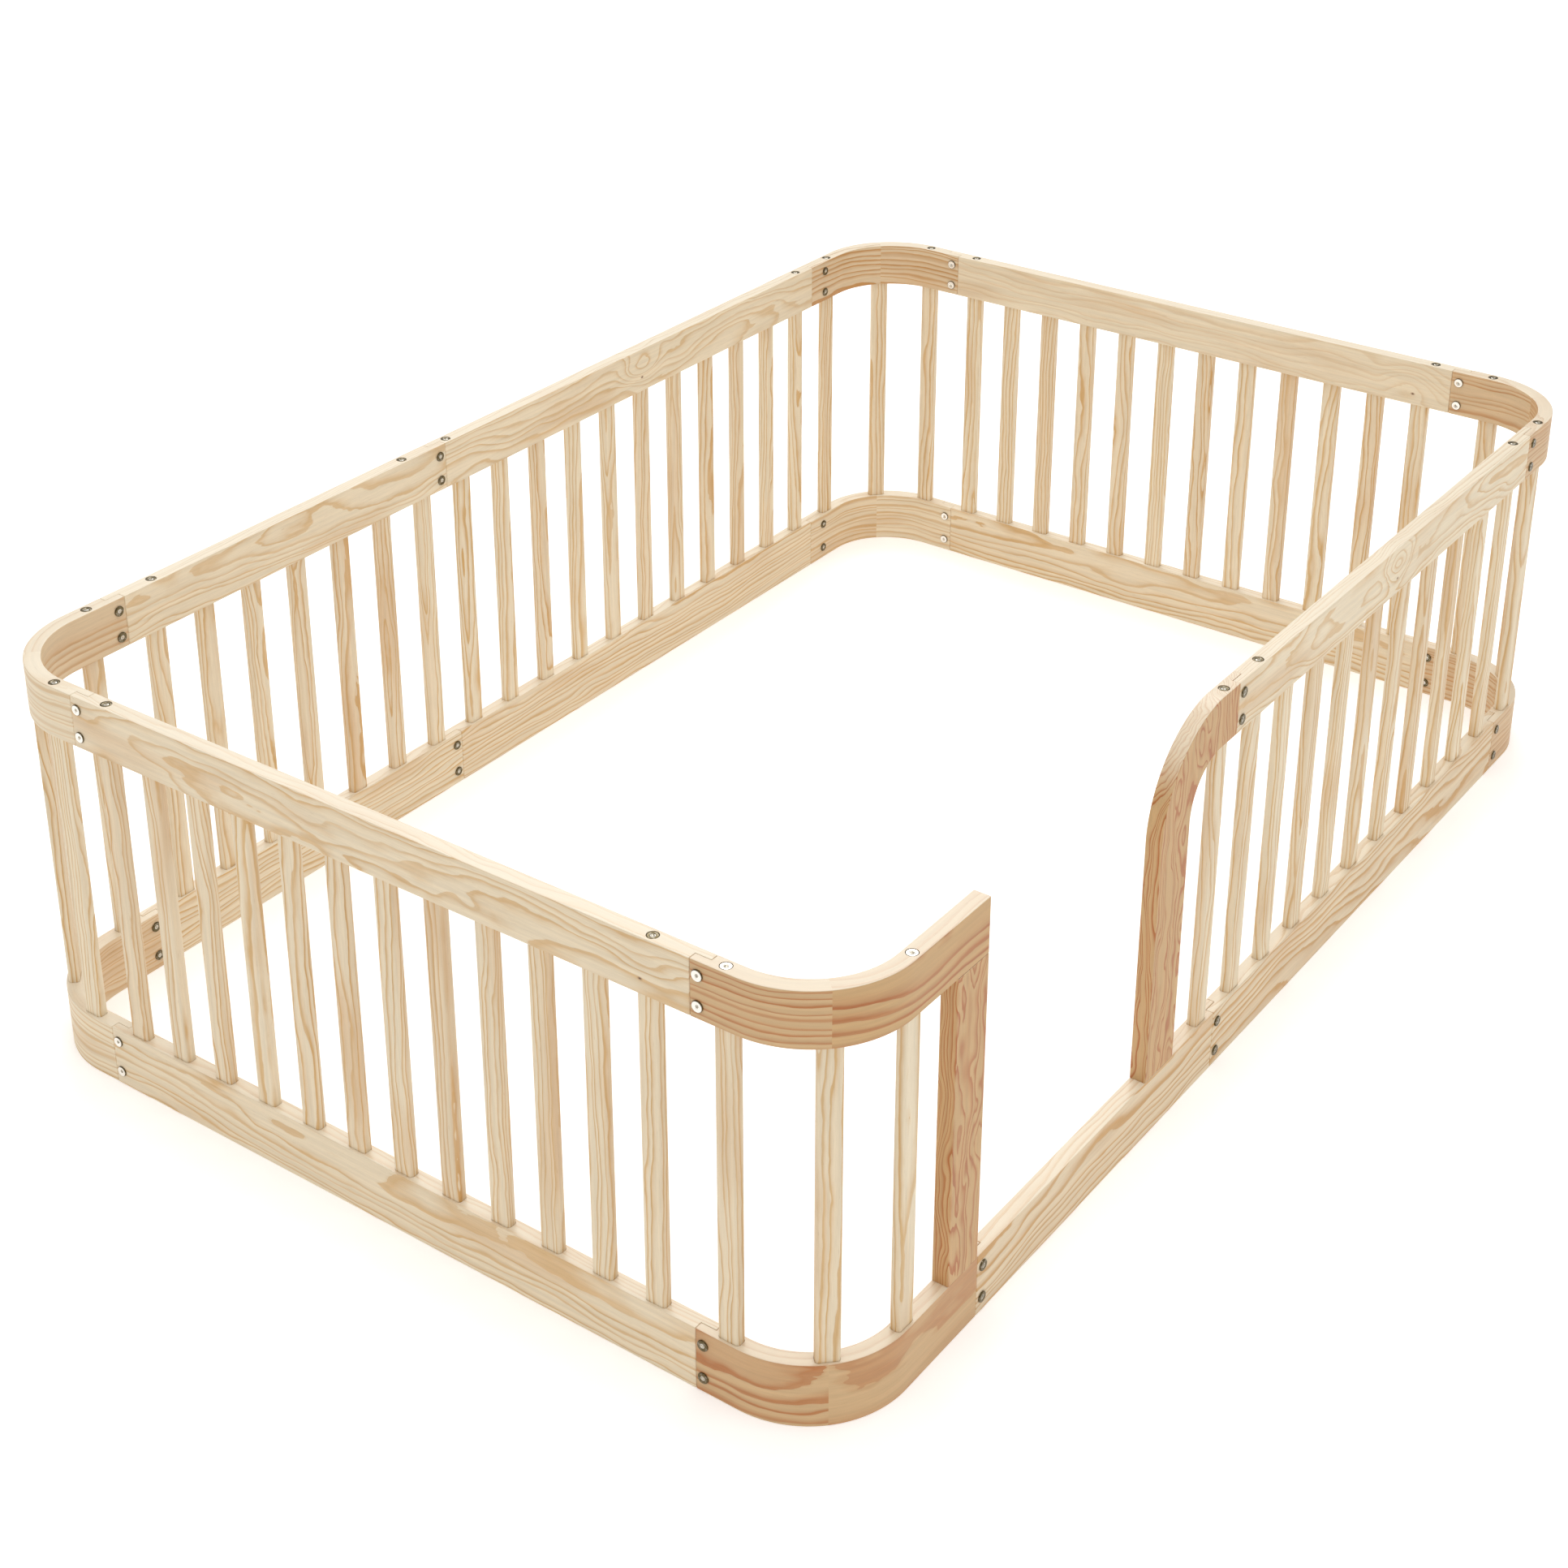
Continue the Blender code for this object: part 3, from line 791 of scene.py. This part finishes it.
def slat_solid(clearance=0.0):
    """One slat with its tenons on the origin's axis: a bar with rounded long edges."""
    half_width = SLAT_WIDTH / 2 - SLAT_ROUND
    half_thickness = SLAT_THICKNESS / 2 - SLAT_ROUND
    section = []
    for corner, (x_sign, y_sign) in enumerate(((1, 1), (-1, 1), (-1, -1), (1, -1))):
        for step in range(SLAT_ROUND_STEPS + 1):
            turn = math.pi / 2 * (corner + step / SLAT_ROUND_STEPS)
            reach = (SLAT_ROUND + clearance) * Vector((math.cos(turn), math.sin(turn)))
            section.append(Vector((x_sign * half_width, y_sign * half_thickness)) + reach)
    return extrude_outline(section, SLAT[0].z - clearance, SLAT[1].z + clearance)


def front_box(x_low, x_high, depth_low, depth_high, z_low, z_high):
    """A box in the doorway side; its depths are measured in from the outer face."""
    corners = (x_low, z_low), (x_high, z_low), (x_high, z_high), (x_low, z_high)
    return extrude_outline([Vector(corner) for corner in corners], depth_low, depth_high,
                           to_space=in_front_side)


def post_tenon(x_low, x_high, z_low, z_high, clearance=0.0):
    """A tenon for a post between two heights, thinner and narrower than the post."""
    inset = POST_TENON_INSET - clearance
    half = POST_TENON_THICKNESS / 2 + clearance
    return front_box(
        x_low + inset, x_high - inset, BOARD / 2 - half, BOARD / 2 + half, z_low, z_high)


# The posts' sides, and whether the post has a tenon at its top too
POST_SPANS = (
    (END_POST[0].x, END_POST[1].x, True),
    (DOOR_POST[0].x, DOOR_POST[0].x + DOOR_POST_WIDTH, False),
)


def inside(spot, low, high, margin):
    return all(low[axis] - margin < spot[axis] < high[axis] + margin for axis in range(len(spot)))


def cutters_for(low, high):
    """Every mortise and bore that a board filling this box needs, as one set of solids."""
    tools = []
    for slat in slats:
        if inside(slat.centre, low.xy, high.xy, SLAT_WIDTH / 2):
            tools.append((slat_solid(GAP), slat.placing))
    for placing in bolts:
        middle = placing @ Vector((0, 0, -BOARD / 2))
        if inside(middle, low, high, 0):
            rings = [(SLEEVE_RADIUS + GAP, -2 * BOARD), (SLEEVE_RADIUS + GAP, BOARD)]
            tools.append((turned_solid(rings), placing))
    for placing in screws:
        if inside(placing.translation, low, high, GAP):
            rings = [
                (SCREW_RADIUS + GAP, -SCREW_LENGTH - GAP), (SCREW_RADIUS + GAP, -HEAD_HEIGHT - GAP),
                (HEAD_RADIUS + GAP, -HEAD_HEIGHT - GAP), (HEAD_RADIUS + GAP, GAP),
            ]
            tools.append((turned_solid(rings, COUNTERBORE_SIDES), placing))
    for left, right, has_top_tenon in POST_SPANS:
        centre = Vector(((left + right) / 2, -HALF_WIDTH + BOARD / 2))
        is_bottom_rail = low.z == 0
        if (is_bottom_rail or has_top_tenon) and inside(centre, low.xy, high.xy, 0):
            tenon = post_tenon(left, right, SLAT[0].z - GAP, SLAT[1].z + GAP, GAP)
            tools.append((tenon, Matrix.Identity(4)))
    return merge_solids(tools)


# ---------------------------------------------------------------- pieces

# Faces that meet at a sharper angle than this keep a crisp edge
CREASE_ANGLE = math.radians(38)


def finish_piece(item, material, nodes):
    """Smooth curves with crisp corners, the material, and the piece's place in the frame."""
    mesh = item.data
    mesh.materials.clear()
    mesh.materials.append(material)
    mesh.shade_smooth()
    mesh.set_sharp_from_angle(angle=CREASE_ANGLE)
    weighted = item.modifiers.new("even_normals", "WEIGHTED_NORMAL")
    weighted.keep_sharp = True
    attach(item, "root")
    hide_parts(*nodes)


BOARD_LOOKS = {
    "rail_top_left": Look(CATHEDRAL, 0.08, 0.80, 0.0072),
    "rail_bottom_left": Look(MIXED, 0.08, 0.85, 0.0085),
    "rail_top_front": Look(CATHEDRAL, 0.06, 0.92, 0.0056),
    "rail_bottom_front": Look(MIXED, 0.16, 1.25, 0.0100),
    "rail_top_right": Look(MIXED, 0.02, 0.42, 0.0080),
    "comb_right": Look(MIXED, 0.08, 0.95, 0.0095),
    "rail_top_back_left": Look(CATHEDRAL, 0.08, 0.75, 0.0070),
    "rail_top_back_right": Look(CATHEDRAL, 0.08, 0.75, 0.0070),
    "comb_back_left": Look(STRIPED, 0.08, 1.00, 0.0080),
    "comb_back_right": Look(STRIPED, 0.10, 1.00, 0.0085),
    "threshold": Look(MIXED, 0.24, 1.30, 0.0105),
    "door_post": Look(CATHEDRAL, 1.00, 1.25, 0.0044),
    "end_post": Look(CATHEDRAL, 1.00, 1.25, 0.0040),
}

# The same for the curved rails: the long side's half, then the short side's half
CORNER_LOOKS = {
    "corner_top_front_left": (Look(MIXED, 0.95, 1.10, 0.0120), Look(LEVEL, 0.90, 1.15, 0.0085)),
    "corner_bottom_front_left": (
        Look(SWIRLED, 0.88, 1.00, 0.0150), Look(CATHEDRAL, 0.86, 1.10, 0.0110)),
    "corner_top_back_left": (Look(MIXED, 0.46, 0.75, 0.0100), Look(LEVEL, 0.12, 0.70, 0.0085)),
    "corner_bottom_back_left": (Look(LEVEL, 0.30, 0.90, 0.0080), Look(LEVEL, 0.10, 0.80, 0.0100)),
    "corner_top_front_right": (Look(LEVEL, 0.70, 1.00, 0.0080), Look(FLAME, 0.60, 0.95, 0.0090)),
    "corner_bottom_front_right": (Look(LEVEL, 0.70, 1.00, 0.0080), Look(LEVEL, 0.55, 0.95, 0.0085)),
    "corner_top_back_right": (Look(MIXED, 0.42, 1.15, 0.0085), Look(LEVEL, 0.42, 1.10, 0.0080)),
    "corner_bottom_back_right": (Look(LEVEL, 0.16, 0.85, 0.0090), Look(LEVEL, 0.12, 0.80, 0.0100)),
}

# Pin knots: where in the board, the board's direction, and how far rings swerve above the knot
KNOTS = {
    "rail_top_left": (Vector((-HALF_LENGTH, -0.4174, 0.5455)), Vector((0, 1, 0)), 0.35),
    "rail_top_front": (Vector((0.3499, -HALF_WIDTH, 0.5500)), Vector((1, 0, 0)), 1.0),
    "rail_top_right": (Vector((HALF_LENGTH, -0.4160, 0.5440)), Vector((0, 1, 0)), 1.0),
    "rail_top_back_right": (Vector((0.3170, HALF_WIDTH, 0.5500)), Vector((1, 0, 0)), 1.0),
}

SLAT_WARMTHS = (0.04, 0.08, 0.16)
SLAT_CONTRAST = 1.05
SLAT_RINGS = (0.0048, 0.0076)
LONG_SIDE_SAWINGS = (CATHEDRAL, CATHEDRAL, MIXED)
SHORT_SIDE_SAWINGS = (MIXED, MIXED, STRIPED)

UP = Vector((0, 0, 1))


def side_axes(side):
    """A side's directions along, up and outward, for a board lying along it."""
    _, run, inward = SIDES[side]
    return Vector((run.x, run.y, 0)), UP, Vector((-inward.x, -inward.y, 0))


def rail_heights(node):
    return (TOP_RAIL_LOW, HEIGHT) if "top" in node else (0.0, BOTTOM_RAIL_HIGH)


def build_straight_rail(node, side, low_lap, high_lap):
    """A straight rail with a half-lap at each end; a comb's rail is made without its slats."""
    low_z, high_z = rail_heights(node)
    outline = straight_outline(side, low_lap, high_lap)
    item = add_object("pine_" + node.replace("comb", "rail_bottom"),
                      extrude_outline(outline, low_z, high_z, EDGE))
    low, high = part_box(node)
    high.z = high_z
    apply_boolean(item, cutters_for(low, high), "DIFFERENCE")
    look = BOARD_LOOKS[node]
    wood = log_frame((low + high) / 2, *side_axes(side), look.sawing), board_tone(look)
    paint_grain(item.data, lambda centre: wood, KNOTS.get(node))
    finish_piece(item, PINE["pine_rails"], [node])


def split_round_bend(bm, x_sign, y_sign):
    """Cuts the faces of a corner rail across its curve, at its glue line among others."""
    centre = corner_centre(x_sign, y_sign)
    for step in range(1, ARC_STEPS):
        turn = math.pi / 2 * step / ARC_STEPS
        bmesh.ops.bisect_plane(
            bm, geom=bm.verts[:] + bm.edges[:] + bm.faces[:], dist=1e-6,
            plane_co=(centre.x, centre.y, 0),
            plane_no=(x_sign * math.cos(turn), -y_sign * math.sin(turn), 0))


def unroll_corner(point, x_sign, y_sign, on_short_side):
    """A corner rail's point after its curve is laid out straight along its half's own side."""
    centre = corner_centre(x_sign, y_sign)
    over_long = x_sign * (point.x - centre.x)
    over_short = y_sign * (point.y - centre.y)
    middle_radius = CORNER_RADIUS - BOARD / 2
    if over_long > 0 and over_short > 0:
        reach = math.hypot(over_long, over_short)
        turn = math.atan2(over_long, over_short)
        if on_short_side:
            over_long = reach
            over_short = middle_radius * (math.pi / 2 - turn)
        else:
            over_long = middle_radius * turn
            over_short = reach
    return Vector((centre.x + x_sign * over_long, centre.y + y_sign * over_short, point.z))


def build_corner(node, x_sign, y_sign, long_lap, short_lap):
    """A curved rail glued from two boards, with the grain of each following the curve."""
    long_side = "front" if y_sign < 0 else "back"
    short_side = "left" if x_sign < 0 else "right"
    low_z, high_z = rail_heights(node)
    outline = corner_outline(x_sign, y_sign, long_side, long_lap, short_side, short_lap)
    solid = extrude_outline(outline, low_z, high_z, EDGE)
    split_round_bend(solid, x_sign, y_sign)
    item = add_object("pine_" + node, solid)
    low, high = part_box(node)
    apply_boolean(item, cutters_for(low, high), "DIFFERENCE")
    centre = corner_centre(x_sign, y_sign)
    middle = Vector((centre.x, centre.y, (low_z + high_z) / 2))
    middle += Vector((x_sign, y_sign, 0)) * (CORNER_RADIUS - BOARD / 2)
    halves = []
    for side, look in zip((long_side, short_side), CORNER_LOOKS[node]):
        halves.append((log_frame(middle, *side_axes(side), look.sawing), board_tone(look)))

    def on_short_side(spot):
        return x_sign * (spot.x - centre.x) > y_sign * (spot.y - centre.y)

    paint_grain(
        item.data, lambda spot: halves[on_short_side(spot)],
        unroll=lambda spot, point: unroll_corner(point, x_sign, y_sign, on_short_side(spot)))
    finish_piece(item, PINE["pine_corner_rails"], [node])


def cut_corners(points, amount):
    """An outline with each corner replaced by a short cut across it."""
    cut = []
    for index, point in enumerate(points):
        before = (points[index - 1] - point).normalized()
        after = (points[(index + 1) % len(points)] - point).normalized()
        cut += [point + before * amount, point + after * amount]
    return cut


def build_end_post():
    """The straight post under the doorway corner's end."""
    low, high = END_POST
    foot = BOTTOM_RAIL_HIGH + GAP
    head = TOP_RAIL_LOW - GAP
    corners = (low.x, low.y), (high.x, low.y), (high.x, high.y), (low.x, high.y)
    section = cut_corners([Vector(corner) for corner in corners], EDGE)
    item = add_object("pine_end_post", extrude_outline(section, foot, head))
    apply_boolean(item, post_tenon(low.x, high.x, low.z, high.z), "UNION")
    finish_post(item, "end_post")


def build_door_post():
    """The post that rises from the threshold and curves over into the front top rail."""
    left = DOOR_POST[0].x
    right = left + DOOR_POST_WIDTH
    bend = Vector((left + DOOR_POST_RADIUS, HEIGHT - DOOR_POST_RADIUS))
    turns = [math.pi / 2 * step / ARC_STEPS for step in range(ARC_STEPS + 1)]
    curve = [Vector((-math.cos(turn), math.sin(turn))) for turn in turns]
    foot = BOTTOM_RAIL_HIGH + GAP
    tip = DOOR_POST[1].x
    outline = [Vector((left, foot))] + [bend + DOOR_POST_RADIUS * way for way in curve]
    outline += [Vector((tip, HEIGHT)), Vector((tip, TOP_RAIL_LOW))]
    outline += [bend + (DOOR_POST_RADIUS - DOOR_POST_WIDTH) * way for way in curve[::-1]]
    outline.append(Vector((right, foot)))
    item = add_object("pine_door_post", extrude_outline(outline, 0, BOARD, EDGE, in_front_side))
    apply_boolean(item, post_tenon(left, right, DOOR_POST[0].z, foot + EDGE), "UNION")
    shoulder = LAPS["door"][0] - GAP / 2
    seam = BOARD / 2 + GAP / 2
    lap = front_box(shoulder, tip + BOARD, -BOARD, seam, TOP_RAIL_LOW - BOARD, HEIGHT + BOARD)
    apply_boolean(item, lap, "DIFFERENCE")
    top_part = Vector((bend.x, DOOR_POST[0].y, TOP_RAIL_LOW)), DOOR_POST[1]
    apply_boolean(item, cutters_for(*top_part), "DIFFERENCE")
    finish_post(item, "door_post")


def finish_post(item, node):
    look = BOARD_LOOKS[node]
    low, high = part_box(node)
    log = log_frame((low + high) / 2, UP, Vector((1, 0, 0)), Vector((0, -1, 0)), look.sawing)
    wood = log, board_tone(look)
    paint_grain(item.data, lambda centre: wood)
    finish_piece(item, PINE["pine_posts"], [node])


def build_slat(slat):
    item = add_object(slat.name, slat_solid())
    item.matrix_world = slat.placing
    middle = Vector((0, 0, HEIGHT / 2))
    on_long_side = abs(slat.centre.y) > HALF_WIDTH - BOARD
    sawing = rng.choice(LONG_SIDE_SAWINGS if on_long_side else SHORT_SIDE_SAWINGS)
    look = Look(sawing, rng.choice(SLAT_WARMTHS), SLAT_CONTRAST, rng.uniform(*SLAT_RINGS))
    log = log_frame(middle, UP, Vector((1, 0, 0)), Vector((0, 1, 0)), look.sawing)
    wood = log, board_tone(look)
    paint_grain(item.data, lambda centre: wood)
    finish_piece(item, PINE["pine_slats"], [slat.node])


def build_boards():
    straight = (
        ("left", "left", "left_front", "left_back", "rail_bottom_left"),
        ("right", "right", "right_front", "right_back", "comb_right"),
        ("back_left", "back", "back_left", "back_mid", "comb_back_left"),
        ("back_right", "back", "back_mid", "back_right", "comb_back_right"),
        ("front", "front", "door", "front_right", "rail_bottom_front"),
    )
    for name, side, low_lap, high_lap, bottom_node in straight:
        for node in ("rail_top_" + name, bottom_node):
            build_straight_rail(node, side, LAPS[low_lap], LAPS[high_lap])
    build_straight_rail("threshold", "front", LAPS["threshold"], LAPS["door"])
    corners = (
        ("front_left", -1, -1, "threshold", "left_front"),
        ("back_left", -1, 1, "back_left", "left_back"),
        ("back_right", 1, 1, "back_right", "right_back"),
        ("front_right", 1, -1, "front_right", "right_front"),
    )
    for name, x_sign, y_sign, long_lap, short_lap in corners:
        top_lap = DOORWAY_END if name == "front_left" else LAPS[long_lap]
        build_corner("corner_top_" + name, x_sign, y_sign, top_lap, LAPS[short_lap])
        build_corner("corner_bottom_" + name, x_sign, y_sign, LAPS[long_lap], LAPS[short_lap])
    build_end_post()
    build_door_post()
    for slat in slats:
        build_slat(slat)


# ---------------------------------------------------------------- fasteners

def head_rings(top):
    """A flat head with a rounded rim, a shallow dish and a hexagon socket, up to height `top`."""
    return [
        (HEAD_RADIUS, top - HEAD_HEIGHT),
        (HEAD_RADIUS, top - RIM_DEPTH),
        (HEAD_RADIUS - RIM_MIDDLE[0], top - RIM_MIDDLE[1]),
        (HEAD_RADIUS - RIM_WIDTH, top),
        (DISH_RADII[0], top - DISH_DEPTHS[0]),
        (DISH_RADII[1], top - DISH_DEPTHS[1]),
        (-SOCKET_RADIUS, top - DISH_DEPTHS[2]),
        (-SOCKET_RADIUS, top - SOCKET_DEPTH),
    ]


def joint_bolt():
    shank = [
        (BOLT_RADIUS - BOLT_CHAMFER, -BOLT_LENGTH),
        (BOLT_RADIUS, BOLT_CHAMFER - BOLT_LENGTH),
        (BOLT_RADIUS, GAP),
    ]
    return turned_solid(shank + head_rings(GAP + HEAD_HEIGHT))


def sleeve_nut():
    """The bolt's mate, turned to face inwards: a head with a bored barrel."""
    bore = BOLT_RADIUS + GAP
    barrel = [
        (bore, -SLEEVE_FLOOR),
        (bore, -SLEEVE_LENGTH),
        (SLEEVE_RADIUS, -SLEEVE_LENGTH),
        (SLEEVE_RADIUS, GAP),
    ]
    return turned_solid(barrel + head_rings(GAP + HEAD_HEIGHT))


def rail_screw():
    shank = [
        (SCREW_POINT_RADIUS, -SCREW_LENGTH),
        (SCREW_RADIUS, SCREW_POINT_LENGTH - SCREW_LENGTH),
        (SCREW_RADIUS, -GAP),
    ]
    return turned_solid(shank + head_rings(0))


def fastener_at(solid, placing):
    """A fastener turned by chance, its head bright at the centre, or painted lit where it faces the
    light.

    Heads painted lit are those that face left, but for the low ones near the doorway, and the two
    in the top of the doorway corner.
    """
    spot = placing.translation
    facing = placing.to_3x3() @ UP
    low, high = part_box("corner_top_front_left")
    on_doorway_corner = facing.z > 0.5 and inside(spot.xy, low.xy, high.xy, -BOARD / 4)
    low_near_doorway = spot.z < BOTTOM_RAIL_HIGH and spot.y < 0
    # Painted light: heads that face the light are painted bright over most of the head
    is_painted_lit = on_doorway_corner or (facing.x < -0.5 and not low_near_doorway)
    mark_bright_metal(solid, PAINTED_LIT_HEAD_RADIUS if is_painted_lit else BRIGHT_CENTRE_RADIUS)
    return solid, placing @ Matrix.Rotation(rng.uniform(0, math.tau), 4, "Z")


def build_fasteners():
    """The bolts, their sleeve nuts and the screws, as three groups of separate solids."""
    through = Matrix.Translation((0, 0, -BOARD)) @ Matrix.Rotation(math.pi, 4, "X")
    bolt_nodes = [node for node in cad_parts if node.startswith("joint_bolt")]
    groups = (
        ("nickel_joint_bolts", [fastener_at(joint_bolt(), place) for place in bolts], bolt_nodes),
        ("nickel_sleeve_nuts", [fastener_at(sleeve_nut(), place @ through) for place in bolts], []),
        ("nickel_rail_screws", [fastener_at(rail_screw(), place) for place in screws], []),
    )
    for name, placed, nodes in groups:
        item = add_object(name, merge_solids(placed))
        finish_piece(item, NICKEL_PLATING, nodes)


# ---------------------------------------------------------------- studio

FLOOR_REACH = 60.0
FLOOR_GREY = 0.93
FLOOR_ROUGHNESS = 0.9
FLOOR_SPECULAR = 0.2
FLOOR_GLOW = 0.31

CAMERA_PLACE = (-2.9134, -1.9550, 2.2331)
CAMERA_LOOK = (0.7362, 0.5309, -0.4196)
CAMERA_LENS = 60.9
CAMERA_SENSOR = 36.0
CAMERA_SHIFT = (0.0020, -0.1785)

Light = namedtuple("Light", "place target size power")
LIGHTS = {
    "key_above": Light((-0.9, -0.9, 5.4), (0, 0, 0.3), (1.8, 1.8), 46),
    "sheen_behind": Light((3.9, 3.2, 5.0), (0, 0, 0.5), (5.0, 3.0), 130),
}

# The world's strengths, and the heights between which one fades into the next
WORLD_COLOUR = (1.0, 0.985, 0.96, 1)
DOME = 0.85
BAND = 0.30
SKYLINE = 0.95
SKYLINE_TO_BAND = (0.12, 0.24)
BAND_TO_DOME = (0.36, 0.50)


def build_floor():
    mesh = bpy.data.meshes.new("floor")
    corners = (-1, -1), (1, -1), (1, 1), (-1, 1)
    places = [(x_sign * FLOOR_REACH, y_sign * FLOOR_REACH, -GAP) for x_sign, y_sign in corners]
    mesh.from_pydata(places, [], [(0, 1, 2, 3)])
    floor = place_object("floor", mesh)
    material = new_material("floor_white")
    shader = material.node_tree.nodes["Principled BSDF"]
    shader.inputs["Base Color"].default_value = (FLOOR_GREY, FLOOR_GREY, FLOOR_GREY, 1)
    shader.inputs["Roughness"].default_value = FLOOR_ROUGHNESS
    shader.inputs["Specular IOR Level"].default_value = FLOOR_SPECULAR
    shader.inputs["Emission Color"].default_value = (1, 1, 1, 1)
    shader.inputs["Emission Strength"].default_value = FLOOR_GLOW
    floor.data.materials.append(material)


def aim(item, way):
    """Points a lamp's or a camera's own -Z along a direction."""
    item.rotation_mode = "QUATERNION"
    item.rotation_quaternion = Vector(way).to_track_quat("-Z", "Y")


def add_light(name, light):
    data = bpy.data.lights.new(name, "AREA")
    data.shape = "RECTANGLE"
    data.size, data.size_y = light.size
    data.energy = light.power
    lamp = place_object(name, data)
    lamp.location = light.place
    aim(lamp, Vector(light.target) - Vector(light.place))


def build_world():
    """A bright studio dome and skyline, with a darker band between them, which metal reflects."""
    world = bpy.data.worlds.new("studio")
    bpy.context.scene.world = world
    world.use_nodes = True
    tree = world.node_tree
    way = add_node(tree, "ShaderNodeTexCoord", {}).outputs["Generated"]
    height = split_vector(tree, way)[2]
    dome = span(tree, height, *BAND_TO_DOME, BAND, DOME)
    skyline = span(tree, height, *SKYLINE_TO_BAND, SKYLINE, BAND)
    background = tree.nodes["Background"]
    background.inputs["Color"].default_value = WORLD_COLOUR
    tree.links.new(calc(tree, "MAXIMUM", dome, skyline), background.inputs["Strength"])


def build_camera():
    data = bpy.data.cameras.new("camera")
    data.sensor_width = CAMERA_SENSOR
    data.lens = CAMERA_LENS
    data.shift_x, data.shift_y = CAMERA_SHIFT
    data.dof.use_dof = False
    camera = place_object("camera", data)
    camera.location = CAMERA_PLACE
    aim(camera, CAMERA_LOOK)
    bpy.context.scene.camera = camera


def build_studio():
    build_floor()
    build_world()
    for name, light in LIGHTS.items():
        add_light(name, light)
    build_camera()
    bpy.context.scene.view_settings.view_transform = "Standard"


build_boards()
build_fasteners()
build_studio()
